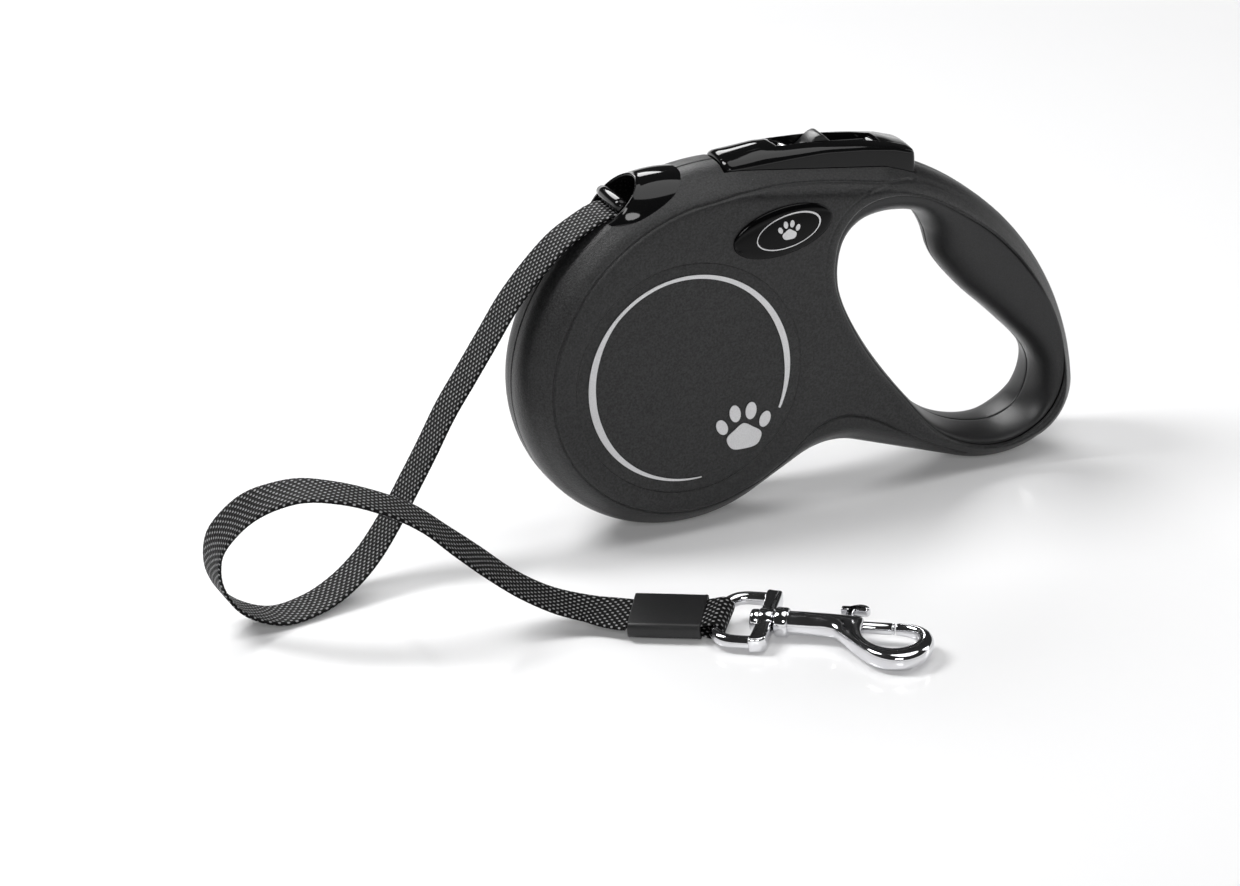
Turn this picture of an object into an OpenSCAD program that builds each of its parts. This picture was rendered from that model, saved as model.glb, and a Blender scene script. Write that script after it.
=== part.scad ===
/* [Case] */
// Thickness of the case over its two side panels
case_t = 30.4; // [30:0.2:32]
// Wall of the two shells
wall = 2.4; // [1.8:0.1:2.6]
// Half-width of the flat land around the parting line
land = 2.06; // [1.5:0.02:2.5]
// Radius of the rounding from the land to the side panel
rim_r = 11.7; // [11:0.1:12.5]
// How far in from the outline the side panel starts
panel_in = 6.7; // [6:0.1:7]

/* [Reel] */
// Radius of the fixed reel axle
axle_r = 3; // [2.5:0.1:3.5]
// Radial running clearance of the reel on its axle
run_gap = 0.05; // [0.02:0.01:0.1]
// Radius of the reel's front flange
flange_r = 35.4; // [33:0.1:35.6]
// Outer radius of the wound tape
wound_r = 34.8; // [20:0.2:35]
// Number of brake teeth around the ratchet flange
teeth = 24; // [12:12:24]

/* [Tape] */
// Width of the tape
tape_w = 13; // [10:0.5:13]
// Thickness of the tape
tape_t = 1; // [0.8:0.1:1.2]

/* [Brake] */
// Width of the brake button
button_w = 15; // [13:0.5:15]
// Gap between the button and its slot
slot_gap = 0.3; // [0.2:0.05:0.4]

/* [Hook] */
// Radius of the shackle's wire
wire_r = 1.8; // [1.5:0.1:1.9]
// Width of the shackle
shackle_w = 24; // [22:0.5:24]
// Thickness of the cast hook
hook_t = 5; // [4.6:0.1:5.2]
// Radius of the hook's round shank
shank_r = 3.2; // [3:0.1:3.3]

/* [Hidden] */
$fn = 96;

half_t = case_t / 2;
inner_half = half_t - wall;
drum = [-36.5, 45.7];
step = 5;

// Outline of the case in X and Z as arcs that meet tangentially, anticlockwise:
// centre x, centre z, radius (negative where the outline is hollow), first and last angle.
case_arcs = [
  [-36.5, 45.7,  45.7, 160.0, 297.4],
  [  7.8, -6.6, -21.1, 117.4,  70.0],
  [ 57.2, 33.0,  33.0, 250.0, 296.7],
  [ 63.7, 20.1,  18.6, 296.7, 362.1],
  [  2.9, 17.9,  79.4,   2.1,  72.1],
  [ 23.4, 81.2,  13.0,  72.1,  81.2],
  [-23.0, 40.8,  60.1,  81.2, 160.0]
];

// Hand opening: its edge at the side panels and its narrower waist at the parting line.
opening_edge = [
  [8.3, 66.5], [10.5, 77], [17, 83.6], [26.5, 85.2], [37, 82.3], [47, 76], [57, 67.8], [66, 57],
  [73, 45], [76.7, 32], [76, 20.5], [70.5, 11.8], [60, 6.8], [48.5, 7.9], [37.5, 14.2], [27, 27.3],
  [17.2, 41.3], [10.3, 56]
];
opening_waist = [
  [11.5, 64], [13.8, 72.5], [19.5, 77], [28, 78], [36.3, 76], [40.2, 70], [42.6, 61.2], [50, 51],
  [60, 40.5], [69, 29.8], [71, 21.5], [67.2, 12.8], [59, 9.3], [48, 11], [38, 16.6], [29, 26.5],
  [19.2, 41.5], [12.7, 55]
];
lining_t = 1.6;
fit_gap = 0.05;
grip_gap = 0.02;
depths = [0, 4, 7.5, 10.2, 11.9, inner_half - grip_gap];

screw_places = [[-20, 90.3], [7, 29], [25, 17.5]];
screw_r = 1.5;
screw_head_r = 2.7;
boss_r = 3.6;

mid_flange_y = 3;
flange_t = 1.2;
front_flange_y = -12;
hub_r = 10;
tooth_r = 41.5;
tooth_root_r = 40.2;
tooth_phase = 8.6;
cup_r = 30;
cup_end_y = 11.2;
cup_cover_y = 12;

pivot = [-14, 95.4];
pin_r = 1.5;
button_front_x = -20.4;
button_back_x = 35.5;
spring_shelf_z = 81;
spring_shelf_t = 1.8;

mouth_centre = [-50.5, 94.3];
mouth_tilt = 48;
nozzle_half_w = 12;
nozzle_bottom_r = 42.6;
nozzle_back_x = -29.4;
nozzle_end_x = -41.4;
nozzle_reach = 33.6;
mouth_r = 6.8;
mouth_flare = 1.5;
barrel = [-40.5, 84.2];
barrel_r = 16.6;
guide = [-52, 88];
guide_r = 1.3;

badge_centre = [-7.6, 82.6];
badge_tilt = 8;
badge_t = 0.5;
badge_arc_r = 19.4;
badge_arc_in = 12.6;
ring_r = 29.4;
ring_w = 1.8;

hook_at = [-51.2, -80.4, 4.2];
hook_turn = -36.87;
hook_roll = 4;
shackle_roll = 9;
stem_r = 1.7;
collar_r = 4;
shank_start = 12.4;
shank_end = 30.6;
bolt_r = 1.6;
bolt_bore_r = 1.15;
bolt_tip = 40.5;
lever_x = 27.2;
lever_t = 3;
lever_slot_w = 2.8;

// Cast hook seen flat: along the mouth and the inside of its eye, then back around the outside.
hook_inside = [
  [20, 3.1], [30.6, 3.1], [31.8, 2.4], [32.2, 0.8], [32.3, -2.2], [32.9, -5.4], [34.4, -8.6],
  [37, -11.1], [40.7, -12.6], [44.4, -12.1], [46.8, -9.7], [47.9, -6.8], [47.6, -4.4], [46.3, -2.7],
  [44, -1.8], [41, -1.6]
];
hook_outside = [
  [41, 1.5], [44, 1.4], [46.8, 0.6], [50, -1.9], [52, -5.9], [52.1, -10.2], [50.6, -14.6], [47.2, -17.7],
  [42.7, -18.4], [38.3, -17], [34.6, -14], [31.8, -11.3], [29.6, -8.9], [27.8, -6.9], [26.2, -5.3],
  [24.6, -4.1], [22.8, -3.5], [20, -3.1]
];

// Free tape from the nozzle to the sleeve: x, y, z and how far its far edge is banked up, in degrees.
tape_route = [
  [-56, 0, 91.4, 0], [-66, 0, 86.2, 0], [-74.5, 0.5, 78.5, 0], [-81.5, 1, 70.5, 0], [-88, 1, 61.5, 0],
  [-94.5, 1, 52.5, 0], [-101, 1, 43.5, 0], [-107, 0.5, 34, 0], [-113, 0, 25, 0], [-119.5, -1.5, 16.5, 0],
  [-127.5, -4.5, 9, 0], [-136.5, -8, 4, 0], [-146.5, -11.5, 1.5, 0], [-157.5, -13.5, 1.5, 0],
  [-167.5, -13, 6.5, 0], [-173, -13.5, 15.5, 0], [-173.5, -16.5, 26, 0], [-169.5, -22, 35, 0],
  [-163.5, -28.5, 41.5, 0], [-155, -34.5, 45, 2], [-145.5, -40, 44.5, 5], [-135.5, -44, 41, 9],
  [-126.5, -46, 35.5, 14], [-118.5, -47, 28, 18], [-110.5, -47.5, 20.5, 20], [-102, -49, 13, 17],
  [-93, -52, 7.5, 14], [-83.5, -56.5, 4.5, 12], [-75.5, -64.5, 4.2, 12]
];

// ---------------------------------------------------------------- curves

function arc_points(c, d) =
  let (n = max(1, ceil(abs(c[4] - c[3]) / step)), r = abs(c[2]) - sign(c[2]) * d)
  [for (i = [0 : n - 1]) let (a = c[3] + (c[4] - c[3]) * (i + 0.5) / n)
    [c[0] + r * cos(a), c[1] + r * sin(a)]];

// The case outline moved inwards by d.
function outline(d = 0) = [for (c = case_arcs) each arc_points(c, d)];

function mix(a, b, t) = a + (b - a) * t;

// Point at t between p1 and p2 on a smooth curve through four points.
function smooth(p0, p1, p2, p3, t) =
  0.5 * (2 * p1 + (p2 - p0) * t + (2 * p0 - 5 * p1 + 4 * p2 - p3) * t * t
         + (3 * p1 - p0 - 3 * p2 + p3) * t * t * t);

function closed_curve(pts, k) =
  let (n = len(pts))
  [for (i = [0 : n - 1]) for (j = [0 : k - 1])
    smooth(pts[(i + n - 1) % n], pts[i], pts[(i + 1) % n], pts[(i + 2) % n], j / k)];

function open_curve(pts, k) =
  let (n = len(pts))
  [for (i = [0 : n - 2]) for (j = [0 : (i == n - 2 ? k : k - 1)])
    smooth(pts[max(i - 1, 0)], pts[i], pts[i + 1], pts[min(i + 2, n - 1)], j / k)];

function unit(v) = v / norm(v);

// A closed curve moved sideways by d; positive d moves a clockwise curve outwards.
function moved(pts, d) =
  let (n = len(pts))
  [for (i = [0 : n - 1])
    let (t = unit(pts[(i + 1) % n] - pts[(i + n - 1) % n])) pts[i] + d * [-t[1], t[0]]];

opening_k = 3;
edge_curve = closed_curve(opening_edge, opening_k);
waist_curve = closed_curve(opening_waist, opening_k);

// Opening at a depth y from the parting line, widening from its waist to its edge as a quarter round.
function opening_at(y, d = 0) =
  let (f = 1 - sqrt(max(0, 1 - pow(y / inner_half, 2))))
  moved([for (i = [0 : len(edge_curve) - 1]) mix(waist_curve[i], edge_curve[i], f)], d);

// Space that half of the lining takes in its shell, with the opening itself.
module lining_space() {
  loft([ring_at(opening_at(0, lining_t + fit_gap), 0.5),
        for (y = depths) ring_at(opening_at(y, lining_t + fit_gap), -y),
        ring_at(opening_at(inner_half - grip_gap, lining_t + fit_gap), -half_t - 1)]);
}

function ring_at(pts, y) = [for (p = pts) [p[0], y, p[1]]];

// ---------------------------------------------------------------- solids from rings

// Faces that join ring a to ring b of n points each.
function band(a, b, n) =
  [for (i = [0 : n - 1]) each let (j = (i + 1) % n)
    [[a * n + i, a * n + j, b * n + j], [a * n + i, b * n + j, b * n + i]]];

function cap(a, n) = [for (i = [0 : n - 1]) a * n + i];

// Closed solid through rings, capped at both ends.
module loft(rings) {
  n = len(rings[0]);
  last = len(rings) - 1;
  bands = [for (k = [0 : last - 1]) each band(k, k + 1, n)];
  polyhedron([for (r = rings) each r],
             concat(bands, [[for (i = [n - 1 : -1 : 0]) i]], [cap(last, n)]));
}

// Closed tube whose last ring joins its first.
module ring_loft(rings) {
  n = len(rings[0]);
  m = len(rings);
  polyhedron([for (r = rings) each r], [for (k = [0 : m - 1]) each band(k, (k + 1) % m, n)]);
}

// A flat shape drawn in X and Z, given thickness from y0 to y1.
module side(y0, y1) {
  translate([0, y1, 0]) rotate([90, 0, 0]) linear_extrude(y1 - y0) children();
}

// A cylinder along Y from y0 to y1.
module pin_y(p, r, y0, y1) {
  translate([p[0], y1, p[1]]) rotate([90, 0, 0]) cylinder(r = r, h = y1 - y0);
}

// A washer along Y.
module ring_y(p, r, hole_r, y0, y1) {
  difference() {
    pin_y(p, r, y0, y1);
    pin_y(p, hole_r, y0 - 1, y1 + 1);
  }
}

// Mirrors front pieces to the rear.
module rear() {
  mirror([0, 1, 0]) children();
}

// ---------------------------------------------------------------- case

rim_end = acos(1 - panel_in / rim_r);
inner_r = rim_r - wall;
inner_in = 5.4;
inner_end = acos(1 - inner_in / inner_r);
panel_lap = 1.8;
floor_lap = 2.2;

// Front shell wall: from its side panel over the rim to the parting line, and back inside.
module shell_cup() {
  loft([
    ring_at(outline(panel_in + panel_lap), -half_t),
    for (k = [5 : -1 : 0]) let (a = rim_end * k / 5)
      ring_at(outline(rim_r * (1 - cos(a))), -land - rim_r * sin(a)),
    ring_at(outline(0), 0),
    ring_at(outline(wall), 0),
    for (k = [0 : 4]) let (a = inner_end * k / 4)
      ring_at(outline(wall + inner_r * (1 - cos(a))), -land - inner_r * sin(a)),
    ring_at(outline(wall + inner_in + floor_lap), -inner_half)
  ]);
}

slot_front_x = button_front_x - 0.6;
slot_back_x = button_back_x + 0.8;
slot_top_z = 110;

module button_slot() {
  side(-button_w / 2 - slot_gap, button_w / 2 + slot_gap)
    polygon([[slot_front_x, 97], [slot_front_x, slot_top_z], [slot_back_x, slot_top_z],
             [slot_back_x, 84.5], [12, 86], [-9, 91.5]]);
}

// Shelf on the inside of the front panel that the button's spring stands on.
module spring_shelf() {
  translate([0, -inner_half - 0.3, spring_shelf_z]) cube([8.3, 12.8, spring_shelf_t]);
}

module front_case() {
  difference() {
    union() {
      shell_cup();
      for (p = screw_places) pin_y(p, boss_r, -inner_half - 0.5, 0);
      spring_shelf();
    }
    lining_space();
    nozzle_seat();
    button_slot();
    for (p = screw_places) pin_y(p, screw_r + grip_gap, -12, 1);
    pin_y(drum, axle_r + grip_gap, -inner_half - 1.2, -10);
    pin_y(pivot, pin_r + grip_gap, -10.6, -5);
  }
}

module front_shell() {
  color([0.16, 0.16, 0.17]) front_case();
}

module rear_shell() {
  color([0.16, 0.16, 0.17])
  difference() {
    union() {
      rear() shell_cup();
      for (p = screw_places) pin_y(p, boss_r, 0, inner_half + 0.5);
    }
    rear() lining_space();
    rear() nozzle_seat();
    button_slot();
    for (p = screw_places) {
      pin_y(p, screw_r + 0.1, -1, 10);
      pin_y(p, screw_head_r + 0.1, 8, half_t + 1);
    }
    pin_y(drum, axle_r + grip_gap, 10, inner_half + 1.2);
    pin_y(pivot, pin_r + grip_gap, 5, 10.6);
  }
}

// Half of the lining of the hand opening.
module grip_half() {
  ring_loft([
    for (y = depths) ring_at(opening_at(y), -y),
    for (k = [len(depths) - 1 : -1 : 0]) ring_at(opening_at(depths[k], lining_t), -depths[k])
  ]);
}

module front_grip() {
  color([0.24, 0.24, 0.25]) grip_half();
}

module rear_grip() {
  color([0.24, 0.24, 0.25]) rear() grip_half();
}

// Outlet nozzle: a round barrel seen from the side, with a round end seen from above.
module nozzle_plan(grow) {
  translate([nozzle_end_x, 0, 60]) cylinder(r = nozzle_half_w + grow, h = 60);
  translate([nozzle_end_x - nozzle_reach, -nozzle_half_w - grow, 60])
    cube([nozzle_reach, 2 * (nozzle_half_w + grow), 60]);
}

module nozzle_body(grow = 0) {
  difference() {
    intersection() {
      pin_y(barrel, barrel_r + grow, -20, 20);
      nozzle_plan(grow);
    }
    pin_y(drum, nozzle_bottom_r - grow, -21, 21);
    translate([nozzle_back_x + grow, -21, 50]) cube([40, 42, 70]);
  }
}

module nozzle_seat() {
  nozzle_body(fit_gap);
}

module at_mouth() {
  translate([mouth_centre[0], 0, mouth_centre[1]]) rotate([0, -mouth_tilt, 0]) children();
}

module outlet_nozzle() {
  color([0.05, 0.05, 0.055])
  difference() {
    nozzle_body();
    at_mouth() cylinder(r = 30, h = 20);
    at_mouth() translate([0, 0, -3.5]) cylinder(r1 = mouth_r, r2 = mouth_r + mouth_flare, h = 4);
    side(-7.2, 7.2) polygon([[-60, 80], [-60, 91], [-48, 93], [-44, 80]]);
    pin_y(guide, guide_r + grip_gap, -9.1, 9.1);
  }
}

// Steel pin that the tape runs over inside the outlet.
module outlet_pin() {
  color([0.75, 0.75, 0.77]) pin_y(guide, guide_r, -9, 9);
}

// Pointed oval between two arcs.
module badge_plate() {
  translate([badge_centre[0], 0, badge_centre[1]]) rotate([0, -badge_tilt, 0])
    side(-half_t - badge_t, -half_t) intersection() {
      translate([0, -badge_arc_in]) circle(r = badge_arc_r);
      translate([0, badge_arc_in]) circle(r = badge_arc_r);
    }
}

module front_badge() {
  color([0.03, 0.03, 0.03]) badge_plate();
}

module rear_badge() {
  color([0.03, 0.03, 0.03]) rear() badge_plate();
}

// Printed ring on the disc panel, open at its lower right.
module ring_print() {
  difference() {
    ring_y(drum, ring_r, ring_r - ring_w, -half_t - 0.1, -half_t);
    translate([drum[0], 0, drum[1]]) rotate([0, 57, 0]) side(-half_t - 1, 0)
      polygon([[0, 0], [40, 22], [40, -22]]);
  }
}

module front_ring() {
  color([0.8, 0.8, 0.82]) ring_print();
}

module rear_ring() {
  color([0.8, 0.8, 0.82]) rear() ring_print();
}

module casing_screws() {
  color([0.6, 0.6, 0.62])
  for (p = screw_places) {
    pin_y(p, screw_r, -11, 9);
    difference() {
      pin_y(p, screw_head_r, 8, 9.6);
      side(9, 10) translate([p[0], p[1]]) square([3.2, 0.8], center = true);
      side(9, 10) translate([p[0], p[1]]) square([0.8, 3.2], center = true);
    }
  }
}

// ---------------------------------------------------------------- reel

module reel_axle() {
  color([0.6, 0.6, 0.62]) pin_y(drum, axle_r, -inner_half - 1.1, inner_half + 1.1);
}

module reel_hub() {
  color([0.3, 0.3, 0.32])
  difference() {
    union() {
      pin_y(drum, flange_r, front_flange_y, front_flange_y + flange_t);
      pin_y(drum, hub_r, front_flange_y, mid_flange_y);
    }
    pin_y(drum, axle_r + run_gap, -20, 20);
  }
}

function tooth_points() =
  [for (i = [0 : teeth - 1]) let (pitch = 360 / teeth, a = i * pitch + tooth_phase)
    each [[tooth_root_r, a], [tooth_root_r, a + 0.55 * pitch], [tooth_r, a + 0.6 * pitch],
          [tooth_r, a + 0.95 * pitch]]];

module ratchet_flange() {
  color([0.35, 0.35, 0.38])
  difference() {
    side(mid_flange_y, mid_flange_y + flange_t) translate(drum)
      polygon([for (p = tooth_points()) p[0] * [cos(p[1]), sin(p[1])]]);
    pin_y(drum, axle_r + run_gap, -20, 20);
  }
}

module spring_cup() {
  color([0.3, 0.3, 0.32]) ring_y(drum, cup_r, cup_r - 1.2, mid_flange_y + flange_t, cup_end_y);
}

module spring_cup_cover() {
  color([0.35, 0.35, 0.38]) ring_y(drum, cup_r, axle_r + run_gap, cup_end_y, cup_cover_y);
}

spring_turns = 7;
spring_in_r = 6;
spring_out_r = cup_r - 2.2;

function spiral(turn, d) =
  let (r = spring_in_r + (spring_out_r - spring_in_r) * turn / spring_turns + d)
  [drum[0] + r * cos(360 * turn), drum[1] + r * sin(360 * turn)];

module power_spring() {
  count = spring_turns * 24;
  color([0.35, 0.4, 0.5]) side(mid_flange_y + flange_t + 0.3, cup_end_y - 0.3)
    polygon(concat([for (i = [0 : count]) spiral(i / 24, 0)],
                   [for (i = [count : -1 : 0]) spiral(i / 24, 0.5)]));
}

module wound_tape() {
  color([0.08, 0.08, 0.08])
    ring_y(drum, wound_r, hub_r, front_flange_y + flange_t, mid_flange_y);
}

// ---------------------------------------------------------------- brake

button_profile = [
  [-18.6, 97.6], [-10.4, 95.6], [-9.4, 93.4], [9, 91], [34.4, 88.6], [35.5, 89.6], [35.3, 95.4], [30, 97.7],
  [21.8, 99.8], [5, 102.2], [-8.3, 103.3], [-17.6, 102.6], [-20.2, 101.4]
];
channel_x = [-2, 27];
channel_z = 99.4;
channel_slope = 6;
channel_w = 7;

// Places a child on the floor of the channel: X along it, from its front end.
module on_channel() {
  translate([channel_x[0], 0, channel_z]) rotate([0, channel_slope, 0]) children();
}

// Channel in the top of the button, in which the slider runs.
module channel() {
  on_channel() translate([0, -channel_w / 2, 0]) cube([channel_x[1] - channel_x[0], channel_w, 12]);
}

module brake_button() {
  color([0.05, 0.05, 0.055])
  difference() {
    side(-button_w / 2, button_w / 2) polygon(button_profile);
    channel();
    pin_y(pivot, pin_r + fit_gap, -20, 20);
    side(-3.2, 3.2) polygon([[-18, 90], [-18, 97.4], [-10, 97.4], [-10, 90]]);
  }
}

module button_pin() {
  color([0.6, 0.6, 0.62]) pin_y(pivot, pin_r, -10.5, 10.5);
}

// Prong that drops from the button to the teeth of the ratchet flange.
module brake_claw() {
  color([0.4, 0.4, 0.42]) side(2.6, 4.6)
    polygon([[0.8, 91.6], [5.6, 91.1], [5.4, 68], [2.6, 64.6], [1.5, 65.9], [2.6, 69]]);
}

// Round wire wound as a helix that stands along Z.
module coil(r, wire, turns, h) {
  per_turn = 12;
  count = turns * per_turn;
  loft([for (i = [0 : count]) let (a = 360 * i / per_turn, z = wire + (h - 2 * wire) * i / count)
    [for (k = [0 : 5]) let (b = 60 * k)
      [(r + wire * cos(b)) * cos(a), (r + wire * cos(b)) * sin(a), z + wire * sin(b)]]]);
}

module button_spring() {
  color([0.7, 0.7, 0.72]) translate([4, -3.6, spring_shelf_z + spring_shelf_t + fit_gap])
    coil(2.2, 0.35, 5, 8.2);
}

slider_profile = [[3.6, 98.95], [14.4, 97.8], [12.4, 101], [10.4, 102.8], [9.2, 102.9], [6.4, 101.2]];

module lock_slider() {
  color([0.2, 0.2, 0.21]) side(-3.2, 3.2) polygon(slider_profile);
}

module lock_indicator() {
  color([0.85, 0.85, 0.85])
    on_channel() translate([0.8, -1.8, 0]) cube([3.6, 3.6, 0.2]);
}

// ---------------------------------------------------------------- tape

// Direction across the tape at a tangent t, with its far edge raised by bank degrees.
function across(t, bank) =
  let (w = unit([0, 1, 0] - t[1] * t), n = cross(t, w)) w * cos(bank) + n * sin(bank);

function tape_ring(p, t) =
  let (w = across(t, p[3]) * tape_w / 2, n = unit(cross(t, w)) * tape_t / 2, c = [p[0], p[1], p[2]])
  [c + w - n, c + w + n, c + w / 3 + n, c - w / 3 + n, c - w + n, c - w - n, c - w / 3 - n, c + w / 3 - n];

module leash_tape() {
  pts = open_curve(tape_route, 2);
  n = len(pts);
  color([0.07, 0.07, 0.07]) loft([for (i = [0 : n - 1])
    let (d = pts[min(i + 1, n - 1)] - pts[max(i - 1, 0)], t = unit([d[0], d[1], d[2]]))
    tape_ring(pts[i], t)]);
}

// Places a child in the frame of the hook: X along its shank, Y across it.
module on_hook(roll) {
  translate(hook_at) rotate([0, 0, hook_turn]) rotate([roll, 0, 0]) children();
}

sleeve_l = 19.4;
sleeve_w = 16.2;
sleeve_t = 4.5;
sleeve_edge_r = 0.8;

module tape_sleeve() {
  color([0.04, 0.04, 0.04])
  translate([-67.5, -68.9, hook_at[2]]) rotate([0, 0, -32]) rotate([shackle_roll, 0, 0])
    translate([-9.6, 0, 0]) rotate([90, 0, 90]) linear_extrude(sleeve_l)
      offset(r = sleeve_edge_r, $fn = 24)
        square([sleeve_w - 2 * sleeve_edge_r, sleeve_t - 2 * sleeve_edge_r], center = true);
}

bar_x = -8.2 + wire_r;

// End of the tape, folded around the shackle's bar and back into the sleeve.
module tape_end_loop() {
  color([0.07, 0.07, 0.07]) on_hook(shackle_roll) side(-tape_w / 2, tape_w / 2)
    difference() {
      union() {
        translate([bar_x, 0]) circle(r = wire_r + 1.05);
        translate([bar_x - 3.4, -1]) square([3.4, 2]);
      }
      translate([bar_x, 0]) circle(r = wire_r + 0.05);
    }
}

// ---------------------------------------------------------------- shackle and hook

module wire_x(x0, x1, y) {
  translate([x0, y, 0]) rotate([0, 90, 0]) cylinder(r = wire_r, h = x1 - x0);
}

module wire_y(x, y0, y1) {
  translate([x, y1, 0]) rotate([90, 0, 0]) cylinder(r = wire_r, h = y1 - y0);
}

corner_r = 6;
leg_y = shackle_w / 2 - wire_r;
crossbar_x = 6.6;
crossbar_h = 4.4;

module wire_corner(a) {
  rotate([0, 0, a]) rotate_extrude(angle = 90) translate([corner_r, 0]) circle(r = wire_r);
}

module swivel_shackle() {
  color([0.8, 0.8, 0.82]) on_hook(shackle_roll)
  difference() {
    union() {
      wire_y(bar_x, -leg_y + corner_r, leg_y - corner_r);
      translate([bar_x + corner_r, leg_y - corner_r, 0]) wire_corner(90);
      translate([bar_x + corner_r, corner_r - leg_y, 0]) wire_corner(180);
      for (s = [-1, 1]) wire_x(bar_x + corner_r, crossbar_x, s * leg_y);
      translate([crossbar_x - wire_r, -leg_y - wire_r, -crossbar_h / 2])
        cube([2 * wire_r, shackle_w, crossbar_h]);
    }
    along_x(0, 20, stem_r + run_gap);
  }
}

module along_x(x0, x1, r) {
  translate([x0, 0, 0]) rotate([0, 90, 0]) cylinder(r = r, h = x1 - x0);
}

module swivel_rivet() {
  color([0.8, 0.8, 0.82]) on_hook(hook_roll) {
    along_x(2.2, 4.65, 3.1);
    along_x(4, 14, stem_r);
  }
}

module snap_hook() {
  color([0.8, 0.8, 0.82]) on_hook(hook_roll)
  difference() {
    union() {
      along_x(8.7, shank_start, collar_r);
      along_x(shank_start, shank_end, shank_r);
      translate([0, 0, -hook_t / 2]) linear_extrude(hook_t) polygon(concat(hook_inside, hook_outside));
    }
    along_x(8, 14.05, stem_r);
    along_x(17, 33, bolt_r + run_gap);
    translate([18.6, 0, -lever_slot_w / 2]) cube([12, 8, lever_slot_w]);
  }
}

module snap_bolt() {
  color([0.8, 0.8, 0.82]) on_hook(hook_roll)
  difference() {
    union() {
      along_x(24.5, bolt_tip, bolt_r);
      translate([lever_x, 0, 0]) rotate([-90, 0, 0]) cylinder(r = 1.2, h = 7.8);
      translate([lever_x, 7.4, -lever_t / 2]) linear_extrude(lever_t)
        polygon([[-2.8, 0], [4.2, 0], [5, 1.2], [3.4, 2.8], [0.8, 2.5], [-2.4, 0.9]]);
    }
    along_x(24, 34.2, bolt_bore_r);
  }
}

module snap_bolt_spring() {
  color([0.6, 0.6, 0.62]) on_hook(hook_roll) translate([17.1, 0, 0]) rotate([0, 90, 0])
    coil(bolt_bore_r - 0.3, 0.2, 8, 9.8);
}

front_shell();
rear_shell();
front_grip();
rear_grip();
outlet_nozzle();
outlet_pin();
front_badge();
rear_badge();
front_ring();
rear_ring();
casing_screws();
reel_axle();
reel_hub();
ratchet_flange();
spring_cup();
spring_cup_cover();
power_spring();
wound_tape();
brake_button();
button_pin();
brake_claw();
button_spring();
lock_slider();
lock_indicator();
leash_tape();
tape_sleeve();
tape_end_loop();
swivel_shackle();
swivel_rivet();
snap_hook();
snap_bolt();
snap_bolt_spring();
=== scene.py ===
"""Looks of the retractable leash: case, nozzle, brake button, tape and hook, around the CAD frame."""
import math

import bmesh
import bpy
import numpy as np
from mathutils import Matrix, Vector
from mathutils.geometry import delaunay_2d_cdt


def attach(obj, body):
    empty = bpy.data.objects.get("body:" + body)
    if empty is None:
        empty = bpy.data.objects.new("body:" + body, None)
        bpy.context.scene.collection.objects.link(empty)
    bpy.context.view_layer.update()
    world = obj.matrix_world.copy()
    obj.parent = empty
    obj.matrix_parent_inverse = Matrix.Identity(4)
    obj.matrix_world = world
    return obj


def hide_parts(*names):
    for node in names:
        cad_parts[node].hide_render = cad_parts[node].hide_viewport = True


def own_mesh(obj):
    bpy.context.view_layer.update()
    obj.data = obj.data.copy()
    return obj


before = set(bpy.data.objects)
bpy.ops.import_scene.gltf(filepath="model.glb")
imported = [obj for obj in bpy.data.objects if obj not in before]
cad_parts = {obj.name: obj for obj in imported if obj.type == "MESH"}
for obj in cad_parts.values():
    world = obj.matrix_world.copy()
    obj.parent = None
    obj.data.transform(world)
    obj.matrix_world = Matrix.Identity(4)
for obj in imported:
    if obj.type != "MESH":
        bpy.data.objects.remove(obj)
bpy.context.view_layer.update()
MM = 0.001
ROOT = "case"

# ------------ sizes in millimetres, as in the part

HALF_T = 15.2
LAND = 2.06
RIM_R = 11.7
PANEL_IN = 6.7
DRUM = np.array([-36.5, 45.7])
TAPE_W = 13.0
TAPE_T = 1.0

# Case outline: centre x, centre z, radius (negative where hollow), first and last angle.
CASE_ARCS = [
    (-36.5, 45.7, 45.7, 160.0, 297.4),
    (7.8, -6.6, -21.1, 117.4, 70.0),
    (57.2, 33.0, 33.0, 250.0, 296.7),
    (63.7, 20.1, 18.6, 296.7, 362.1),
    (2.9, 17.9, 79.4, 2.1, 72.1),
    (23.4, 81.2, 13.0, 72.1, 81.2),
    (-23.0, 40.8, 60.1, 81.2, 160.0),
]
DRUM_ARC = CASE_ARCS[0]
CROWN = CASE_ARCS[6]
OUTLINE_SPACING = 1.2

# Hand opening at the side panels, and its narrower waist at the parting line.
OPENING_EDGE = [
    (8.3, 66.5), (10.5, 77), (17, 83.6), (26.5, 85.2), (37, 82.3), (47, 76), (57, 67.8), (66, 57),
    (73, 45), (76.7, 32), (76, 20.5), (70.5, 11.8), (60, 6.8), (48.5, 7.9), (37.5, 14.2), (27, 27.3),
    (17.2, 41.3), (10.3, 56),
]
OPENING_WAIST = [
    (11.5, 64), (13.8, 72.5), (19.5, 77), (28, 78), (36.3, 76), (40.2, 70), (42.6, 61.2), (50, 51),
    (60, 40.5), (69, 29.8), (71, 21.5), (67.2, 12.8), (59, 9.3), (48, 11), (38, 16.6), (29, 26.5),
    (19.2, 41.5), (12.7, 55),
]

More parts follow.
